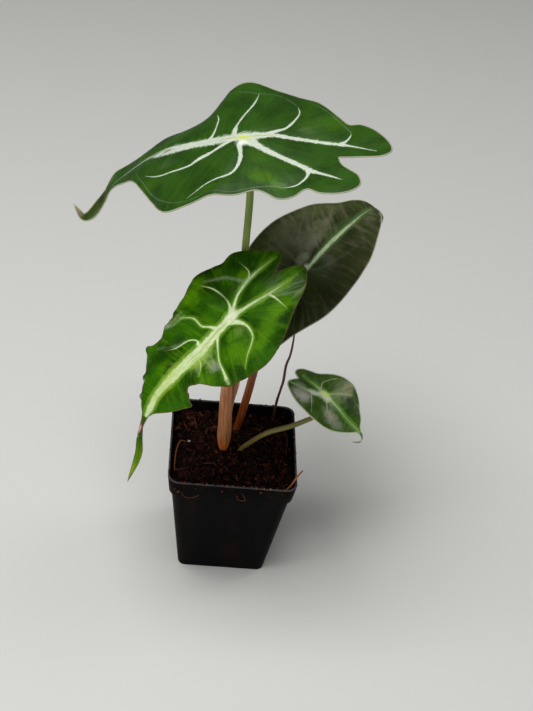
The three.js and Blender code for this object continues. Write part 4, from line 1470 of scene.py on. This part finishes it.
# %% Soil finish
def soil_finish():
    finish = Finish("soil", {"Specular IOR Level": 0.06})
    place = finish.place()
    tone = finish.attribute("tone", "Fac")
    depth = finish.attribute("depth", "Fac")
    grains = finish.noise(place, 0.45, 3, 0.7)
    patches = finish.noise(place, 7, 2, 0.5)
    clumps = finish.noise(place, 2.4, 2, 0.5)
    tint = finish.paint(
        colour(15, 7, 4),
        (colour(52, 25, 15), tone.fade(0.3, 0.85)),
        (colour(78, 38, 22), clumps.fade(0.54, 0.7) * 0.6),
        (colour(104, 56, 34), tone.fade(0.84, 1.0) * 0.85),
        (colour(176, 118, 84), tone.fade(1.0, 1.4) * 0.9),
        (colour(8, 4, 3), grains.fade(0.55, 0.32) * 0.6),
        (colour(110, 64, 42), grains.fade(0.64, 0.8) * 0.45),
        (colour(8, 4, 3), clumps.fade(0.46, 0.32) * 0.8),
        (colour(11, 6, 4), patches.fade(0.6, 0.4) * 0.4),
        # Painted shade in the gaps between crumbs, darker the deeper they lie.
        (colour(4, 2, 1), depth.fade(-0.2, -1.5) * 0.9),
    )
    finish.dress({"Base Color": tint, "Roughness": 0.82 - grains * 0.2})
    finish.bump(grains, 0.4, 0.6)
    return finish


coir = soil_finish()
keep_piece(bed, [coir], "soil", "soil")

# %% [markdown]
# ## Loose crumbs
# Three different crumbs are modelled from a faceted ball, and each is pushed out of round. The
# copies are turned and stretched. Most are half sunk in the bed, some lie on the pot's lip, a
# few bits cling to the front of its rim band, and ten broad flat chips lie among the crumbs. All
# are joined as one piece.

# %% Loose crumbs
CRUMB_MODELS = 3
LOOSE_CRUMBS = 620
LIP_CRUMBS = 110
POT_HEIGHT = 74
CRUMB_REACH = 31.5
LIP_REACH = 29
LIP_MIDDLE = 34.5
BAND_FACE = -35.1


def crumb_model(number):
    """The points and faces of one lumpy crumb about one unit across."""
    deselect()
    bpy.ops.mesh.primitive_ico_sphere_add(subdivisions=2 if number == 0 else 1, radius=0.5)
    ball = bpy.context.object
    points = np.array([vertex.co[:] for vertex in ball.data.vertices])
    faces = np.array([face.vertices[:] for face in ball.data.polygons])
    points = points * (1 + rng.uniform(-0.28, 0.28, (len(points), 1)))
    bpy.data.objects.remove(ball)
    return points, faces


def any_turn():
    """A rotation with no preferred direction."""
    spin = rng.normal(size=4)
    w, x, y, z = spin / np.linalg.norm(spin)
    return np.array((
        (1 - 2 * (y * y + z * z), 2 * (x * y - w * z), 2 * (x * z + w * y)),
        (2 * (x * y + w * z), 1 - 2 * (x * x + z * z), 2 * (y * z - w * x)),
        (2 * (x * z - w * y), 2 * (y * z + w * x), 1 - 2 * (x * x + y * y)),
    ))


def join_copies(name, copies):
    """One piece of many small shapes. A copy is its points, its faces and its tone."""
    points, faces, tones = [], [], []
    count = 0
    for shape, sides, tone in copies:
        points.append(shape)
        faces.extend([int(corner) + count for corner in face] for face in sides)
        tones.append(np.full(len(shape), tone))
        count += len(shape)
    mesh = bpy.data.meshes.new(name)
    mesh.from_pydata((np.concatenate(points) * MM).tolist(), [], faces)
    piece = bpy.data.objects.new(name, mesh)
    bpy.context.scene.collection.objects.link(piece)
    store(piece, "tone", "FLOAT", np.concatenate(tones))
    select_only(piece)
    bpy.ops.object.shade_smooth()
    print(name, len(copies), "copies,", len(mesh.polygons), "faces")
    return piece


bed_grid = bed_z.reshape(SOIL_CELLS + 1, SOIL_CELLS + 1)


def bed_top(x, y):
    """The height of the crumbly bed at a place."""
    place = (np.stack((y, x)) + SOIL_HALF) / (2 * SOIL_HALF / SOIL_CELLS)
    row, column = np.clip(np.round(place).astype(int), 0, SOIL_CELLS)
    return bed_grid[row, column]


models = [crumb_model(number) for number in range(CRUMB_MODELS)]
print("crumb models:", len(models))

# %% Crumbs on the bed and on the lip
crumbs = []
for number in range(LOOSE_CRUMBS):
    x, y = rng.uniform(-CRUMB_REACH, CRUMB_REACH, 2)
    size = rng.choice((0.8, 1.2, 1.7, 2.6), p=(0.4, 0.3, 0.2, 0.1)) * rng.uniform(0.8, 1.2)
    stretch = rng.uniform(0.55, 1.5, 3) * (1, 1, 0.7)
    shape, sides = models[rng.integers(CRUMB_MODELS)]
    shape = (shape * stretch) @ any_turn().T * size
    at = np.array((x, y, bed_top(x, y) + 0.2 * size))
    crumbs.append((shape + at, sides, rng.uniform(0, 1)))

for number in range(LIP_CRUMBS):
    side = rng.choice(4, p=(0.45, 0.3, 0.15, 0.1))
    run = rng.uniform(-LIP_REACH, LIP_REACH)
    out = LIP_MIDDLE + rng.uniform(-0.5, 0.2)
    x, y = ((run, -out), (-out, run), (out, run), (run, out))[side]
    size = rng.uniform(0.5, 1.3)
    shape, sides = models[rng.integers(CRUMB_MODELS)]
    shape = (shape * rng.uniform(0.6, 1.4, 3)) @ any_turn().T * size
    crumbs.append((shape + (x, y, POT_HEIGHT + 0.15 * size), sides, rng.uniform(0.6, 1.4)))
print("crumbs so far:", len(crumbs))

# %% Bits on the rim band, and chips
# Bits: x, height and size
BAND_BITS = [
    (-30.6, 69.7, 1.6), (-28.6, 68, 2.2), (-26.6, 67.1, 1.4), (-19.4, 70.8, 1.0),
    (-12.8, 68.5, 0.9), (-5.5, 70.4, 1.3), (2.8, 67.9, 1.5), (2.4, 69.6, 1.2),
    (9.3, 72.4, 0.9), (15.4, 71.5, 1.5), (20.5, 69, 0.9), (27, 71.2, 1.0),
]
for x, z, size in BAND_BITS:
    shape, sides = models[rng.integers(CRUMB_MODELS)]
    shape = (shape * (1.2, 0.5, 0.9)) @ any_turn().T * size
    crumbs.append((shape + (x, BAND_FACE, z), sides, rng.uniform(0.8, 1.1)))

CHIP_TILT = 0.15
# Chips: place, size and tone
CHIPS = [
    ((-9.5, -2.5, 69.6), (4.4, 2.2, 0.8), 0.98), ((-14.2, 3.1, 68.6), (3.2, 1.8, 0.7), 0.9),
    ((8.5, -17, 69.6), (3.6, 2.2, 0.8), 0.92), ((20.5, -6, 68.4), (3.0, 1.6, 0.7), 0.95),
    ((-20, -16.5, 68.6), (3.4, 2.0, 0.8), 0.93), ((14, 9, 68), (3.0, 2.0, 0.7), 0.88),
    ((-3, -25.5, 70.2), (3.8, 1.6, 0.8), 0.96), ((25.5, 15, 67.8), (3.2, 1.7, 0.7), 0.94),
    ((-24.5, 16, 67), (3.2, 2.2, 0.8), 0.9), ((2.5, 22, 67.6), (4.0, 1.8, 0.7), 0.91),
]
for at, size, tone in CHIPS:
    shape, sides = models[rng.integers(CRUMB_MODELS)]
    turn = rng.uniform(0, math.pi)
    spin = np.array((
        (math.cos(turn), -math.sin(turn), 0),
        (math.sin(turn), math.cos(turn), CHIP_TILT),
        (0, -CHIP_TILT, 1),
    ))
    crumbs.append(((shape * size) @ spin.T + at, sides, tone))

loose_crumbs = join_copies("loose_crumbs", crumbs)
store(loose_crumbs, "depth", "FLOAT", np.zeros(len(loose_crumbs.data.vertices)))
keep_piece(loose_crumbs, [coir], "soil")

# %% [markdown]
# ## A white grain
# One grain of perlite lies in the coir at the left. It is a fine ball pushed out of round and
# half sunk in the bed, with the dull white look of foamed glass.

# %% White grain
GRAIN_AT = (-24.4, 5.3, 68.0)
GRAIN_SIZE = 0.75

deselect()
bpy.ops.mesh.primitive_ico_sphere_add(subdivisions=4, radius=GRAIN_SIZE * MM)
grain = bpy.context.object
grain.name = "perlite_grain"
ball = np.array([vertex.co[:] for vertex in grain.data.vertices]) / MM
lumps = np.sin(ball @ (3.1, 1.7, 2.3)) + np.sin(ball @ (-2.2, 4.1, 1.2) + 1)
ball = ball * (1 + 0.1 * lumps)[:, None] * (1.15, 0.85, 0.8) + GRAIN_AT
move_points(grain, ball)
bpy.ops.object.shade_smooth()
perlite = Finish("perlite", {"Specular IOR Level": 0.2, "Roughness": 0.85})
foam = perlite.noise(perlite.place(), 0.25, 3, 0.7)
perlite.dress({"Base Color": perlite.mix(colour(150, 132, 118), colour(222, 204, 188), foam)})
perlite.bump(foam, 0.12, 0.6)
keep_piece(grain, [perlite], "soil")
print("white grain at", GRAIN_AT)

# %% [markdown]
# ## Threads of coir
# The threads are the husk's own fibres: thin, curled and red-brown. Each is a three-sided rod
# with thinned ends that rises from the bed, arches over it and dips in again. The few that stand
# out in the photograph have six sides and are given point by point. One of them sticks out over
# the front right corner, and two cling to the rim band.

# %% Threads
THREADS = 250
THREAD_SIDES = 3
THREAD_STEPS = 7
THREAD_ROUNDING = 2
THREAD_DIP = 0.3
THREAD_START = 29
THREAD_REACH = 31.8
MARKED_SIDES = 6
MARKED_ROUNDING = 6
# Marked threads: points, radius and tone
MARKED_THREADS = [
    ([(-26.1, 5.5, 67.5), (-29.4, 3.5, 69), (-31.4, -7.4, 69.5), (-31.6, -19.5, 68)], 0.4, 0.9),
    ([(-22.9, 27.2, 67), (-21.8, 22, 69.5), (-20.3, 16.3, 67.2)], 0.5, 0.5),
    ([(29.4, 22.3, 67), (30.9, 12.2, 69.3), (30, -2, 67.5)], 0.42, 0.55),
    ([(-8.9, -12.1, 68.4), (-13.3, -13.4, 70), (-16.6, -12.9, 68.3)], 0.34, 0.7),
    ([(27.5, -30.5, 68.5), (31.1, -29.4, 72), (34.2, -27.6, 78), (37, -26.4, 82)], 0.55, 1.0),
    ([(-27.1, -34, 65.7), (-24.1, -33.8, 62.9), (-20.4, -33.7, 63), (-17.2, -34, 65.5)], 0.3, 0.8),
    ([(2.3, -34.2, 68), (3.7, -34, 64.4), (7.6, -34, 63.9), (5.2, -34.3, 69.7)], 0.28, 0.8),
]


def rod(route, sides):
    """The points and faces of a thin rod along x, y, z and radius, with closed ends."""
    angle = np.arange(sides) * 2 * math.pi / sides
    ring = around(route, route[:, 3:4], angle, (0.13, 0.21, 1.0))
    faces = []
    for row in range(len(route) - 1):
        for corner in range(sides):
            after = (corner + 1) % sides
            low, high = row * sides, (row + 1) * sides
            faces.append((low + corner, low + after, high + after, high + corner))
    last = (len(route) - 1) * sides
    faces.append(tuple(range(sides))[::-1])
    faces.append(tuple(range(last, last + sides)))
    return ring.reshape(-1, 3), faces


# %% Threads strewn over the bed
rods = []
for number in range(THREADS):
    length = rng.uniform(2.5, 10)
    heading = rng.uniform(0, 2 * math.pi)
    bend = rng.uniform(-0.12, 0.12)
    t = np.linspace(0, 1, THREAD_STEPS)
    turning = heading + bend * length * t
    x, y = [
        rng.uniform(-THREAD_START, THREAD_START) + np.cumsum(run) * length / THREAD_STEPS
        for run in (np.cos(turning), np.sin(turning))
    ]
    x, y = np.clip(x, -THREAD_REACH, THREAD_REACH), np.clip(y, -THREAD_REACH, THREAD_REACH)
    arch = rng.uniform(0.1, 1.3) * np.sin(math.pi * t) + 0.25
    ground = bed_top(x, y)
    level = np.convolve(np.pad(ground, 1, mode="edge"), (0.25, 0.5, 0.25), "valid")
    z = np.maximum(level, ground) + arch * 0.7
    z[0] = ground[0] - THREAD_DIP
    z[-1] = ground[-1] - THREAD_DIP
    width = rng.uniform(0.07, 0.17) * (1 - 0.6 * np.abs(2 * t - 1) ** 3)
    route = through(np.stack((x, y, z, width), 1), THREAD_ROUNDING)
    rods.append((*rod(route, THREAD_SIDES), rng.uniform(0, 1)))
for points, width, tone in MARKED_THREADS:
    rows = through([(*point, width) for point in points], MARKED_ROUNDING)
    rows[:, 3] *= 1 - 0.5 * np.abs(np.linspace(-1, 1, len(rows))) ** 4
    rods.append((*rod(rows, MARKED_SIDES), tone))
threads = join_copies("coir_threads", rods)


# %% Thread finish
def thread_finish():
    finish = Finish("coir_thread", {"Specular IOR Level": 0.2})
    place = finish.place()
    tone = finish.attribute("tone", "Fac")
    grains = finish.noise(place, 0.6, 2, 0.6)
    tint = finish.paint(
        colour(40, 21, 14),
        (colour(88, 46, 27), tone.fade(0.2, 0.75)),
        (colour(160, 98, 56), tone.fade(0.8, 1.0)),
        (colour(28, 17, 13), grains.fade(0.5, 0.3) * 0.6),
    )
    finish.dress({"Base Color": tint, "Roughness": 0.7 + (grains - 0.5) * 0.3})
    finish.bump(grains, 0.15, 0.4)
    return finish


keep_piece(threads, [thread_finish()], "soil")
print("thread finish made")

# %% [markdown]
# ## Pot
# The pot is thin black plastic, moulded in one piece: a tapered square body with rounded
# corners, and a deeper band at the rim that stands proud. A plane gets round corners from a
# bevel of its points. One face is then extruded up the outside, over the lip and down the
# inside. The drain holes are cut by a Boolean, and a small bevel softens every edge.

# %% Pot
POT_BASE = 49
POT_TOP = 70
POT_WALL = 1
POT_FLOOR = 1.4
RIM_BAND = 11.5
RIM_STEP = 1.2
POT_CORNER = 6
POT_CORNER_STEPS = 8
LIP_ROUND = 0.35
EDGE_ANGLE = math.radians(35)
DRAIN_RADIUS = 3.5
DRAIN_OFFSET = 14
DRAIN_SIDES = 32
DRILL_LENGTH = 6
RIM_LOW = POT_HEIGHT - RIM_BAND
WIDENING = (POT_TOP / 2 - RIM_STEP - POT_BASE / 2) / POT_HEIGHT


def body_half(z):
    return POT_BASE / 2 + WIDENING * z


def rim_half(z):
    return body_half(z) + RIM_STEP


SHELF = RIM_LOW + POT_WALL
POT_PROFILE = [
    (body_half(RIM_LOW), RIM_LOW),
    (rim_half(RIM_LOW), RIM_LOW),
    (rim_half(POT_HEIGHT), POT_HEIGHT),
    (rim_half(POT_HEIGHT) - POT_WALL, POT_HEIGHT),
    (rim_half(SHELF) - POT_WALL, SHELF),
    (body_half(SHELF) - POT_WALL, SHELF),
    (body_half(POT_FLOOR) - POT_WALL, POT_FLOOR),
]

deselect()
bpy.ops.mesh.primitive_plane_add(size=POT_BASE * MM)
pot = bpy.context.object
pot.name = pot.data.name = "pot_shell"
open_piece(pot)
corner_at_base = POT_CORNER * POT_BASE / POT_TOP
bpy.ops.mesh.bevel(offset=corner_at_base * MM, segments=POT_CORNER_STEPS, affect="VERTICES")
bpy.ops.mesh.select_mode(type="FACE")
bpy.ops.mesh.select_all(action="SELECT")
reached = POT_BASE / 2
for half, z in POT_PROFILE:
    extrude_to(half / reached, z)
    reached = half
bpy.ops.mesh.select_mode(type="EDGE")
bpy.ops.mesh.select_all(action="DESELECT")
bpy.ops.mesh.select_non_manifold(
    extend=False, use_wire=False, use_multi_face=False, use_non_contiguous=False, use_verts=False
)
bpy.ops.mesh.edge_face_add()
bpy.ops.mesh.select_all(action="SELECT")
bpy.ops.mesh.normals_make_consistent(inside=False)
bpy.ops.object.mode_set(mode="OBJECT")

rounding = pot.modifiers.new("soft edges", "BEVEL")
rounding.width = LIP_ROUND * MM
rounding.segments = 3
rounding.angle_limit = EDGE_ANGLE
apply_modifiers(pot)
print("pot", len(pot.data.polygons), "faces before its drain holes")

# %% Drain holes
for x in (-DRAIN_OFFSET, DRAIN_OFFSET):
    for y in (-DRAIN_OFFSET, DRAIN_OFFSET):
        deselect()
        bpy.ops.mesh.primitive_cylinder_add(
            vertices=DRAIN_SIDES,
            radius=DRAIN_RADIUS * MM,
            depth=DRILL_LENGTH * MM,
            location=(x * MM, y * MM, 0),
        )
        drill = bpy.context.object
        cut = pot.modifiers.new("drain", "BOOLEAN")
        cut.operation = "DIFFERENCE"
        cut.object = drill
        apply_modifiers(pot)
        bpy.data.objects.remove(drill)
select_only(pot)
bpy.ops.object.shade_smooth_by_angle(angle=EDGE_ANGLE)
print("pot", len(pot.data.polygons), "faces")

# %% [markdown]
# ## Pot finish
# Black plastic has a satin sheen that is broken by handling. Brown dust clings to the rim band
# and under it, where the coir was poured, and thins out further down. A pale painted highlight
# lies along the lip's top edge.

# %% Pot finish
def pot_finish():
    finish = Finish("pot", {"Specular IOR Level": 0.03})
    place = finish.place()
    height = finish.parts(place)[2]
    grain = finish.noise(place, 0.3, 2, 0.6)
    smears = finish.noise(finish.stretch(place, (1, 1, 0.35)), 9, 3, 0.6)
    specks = finish.cells(place, 1.7)
    crust = finish.noise(place, 1.3, 3, 0.65)
    near_lip = height.fade(60, 74)
    dust = (smears.fade(0.45, 0.75) * 0.5 + crust.fade(0.5, 0.75) * near_lip) * 0.6
    dust = dust + specks.fade(0.16, 0.05) * (near_lip * 0.7 + 0.15)
    dust = dust.least(1.0)
    tint = finish.paint(
        colour(2, 2, 3),
        (colour(7, 6, 7), smears.fade(0.3, 0.7)),
        (colour(58, 43, 34), dust * 0.45),
        # Painted highlight along the top of the lip.
        (colour(92, 88, 92), height.fade(73.2, 73.9) * (0.45 + smears * 0.5)),
    )
    finish.dress({"Base Color": tint, "Roughness": 0.4 + smears * 0.18 + dust * 0.3})
    finish.bump(grain + crust * 0.6, 0.06, 0.5)
    return finish


keep_piece(pot, [pot_finish()], "pot", "pot")

# %% [markdown]
# ## Tuber
# The short tuber lies in the soil, out of sight. Its solid has the right shape already, so it
# stays, and only gets a better finish: corky brown skin with rings of old leaf scars.

# %% Tuber
def tuber_finish():
    finish = Finish("tuber", {"Specular IOR Level": 0.3})
    place = finish.place()
    cork = finish.noise(place, 1.8, 4, 0.65)
    rings = finish.noise(finish.stretch(place, (0.15, 0.15, 1.1)), 1.2, 2, 0.5)
    tint = finish.paint(
        colour(74, 48, 34),
        (colour(140, 98, 66), cork.fade(0.35, 0.65)),
        (colour(52, 34, 24), rings.fade(0.5, 0.35) * 0.7),
    )
    finish.dress({"Base Color": tint, "Roughness": 0.8 - cork * 0.15})
    finish.bump(cork + rings, 0.5, 0.6)
    return finish


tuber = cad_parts["tuber"]
skin = tuber_finish()
for holder in tuber.material_slots:
    holder.material = skin.material
print("tuber slots:", len(tuber.material_slots))

# %% [markdown]
# The sizes of both boxes, the solids' and the dressed part's, are printed in millimetres.

visual_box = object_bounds()
boxes = {
    "cad": [list(cad_box[0]), list(cad_box[1])],
    "visual": [list(visual_box[0]), list(visual_box[1])],
}
for name, (low, high) in boxes.items():
    print(name, [round((b - a) * 1000, 1) for a, b in zip(low, high)], "mm")
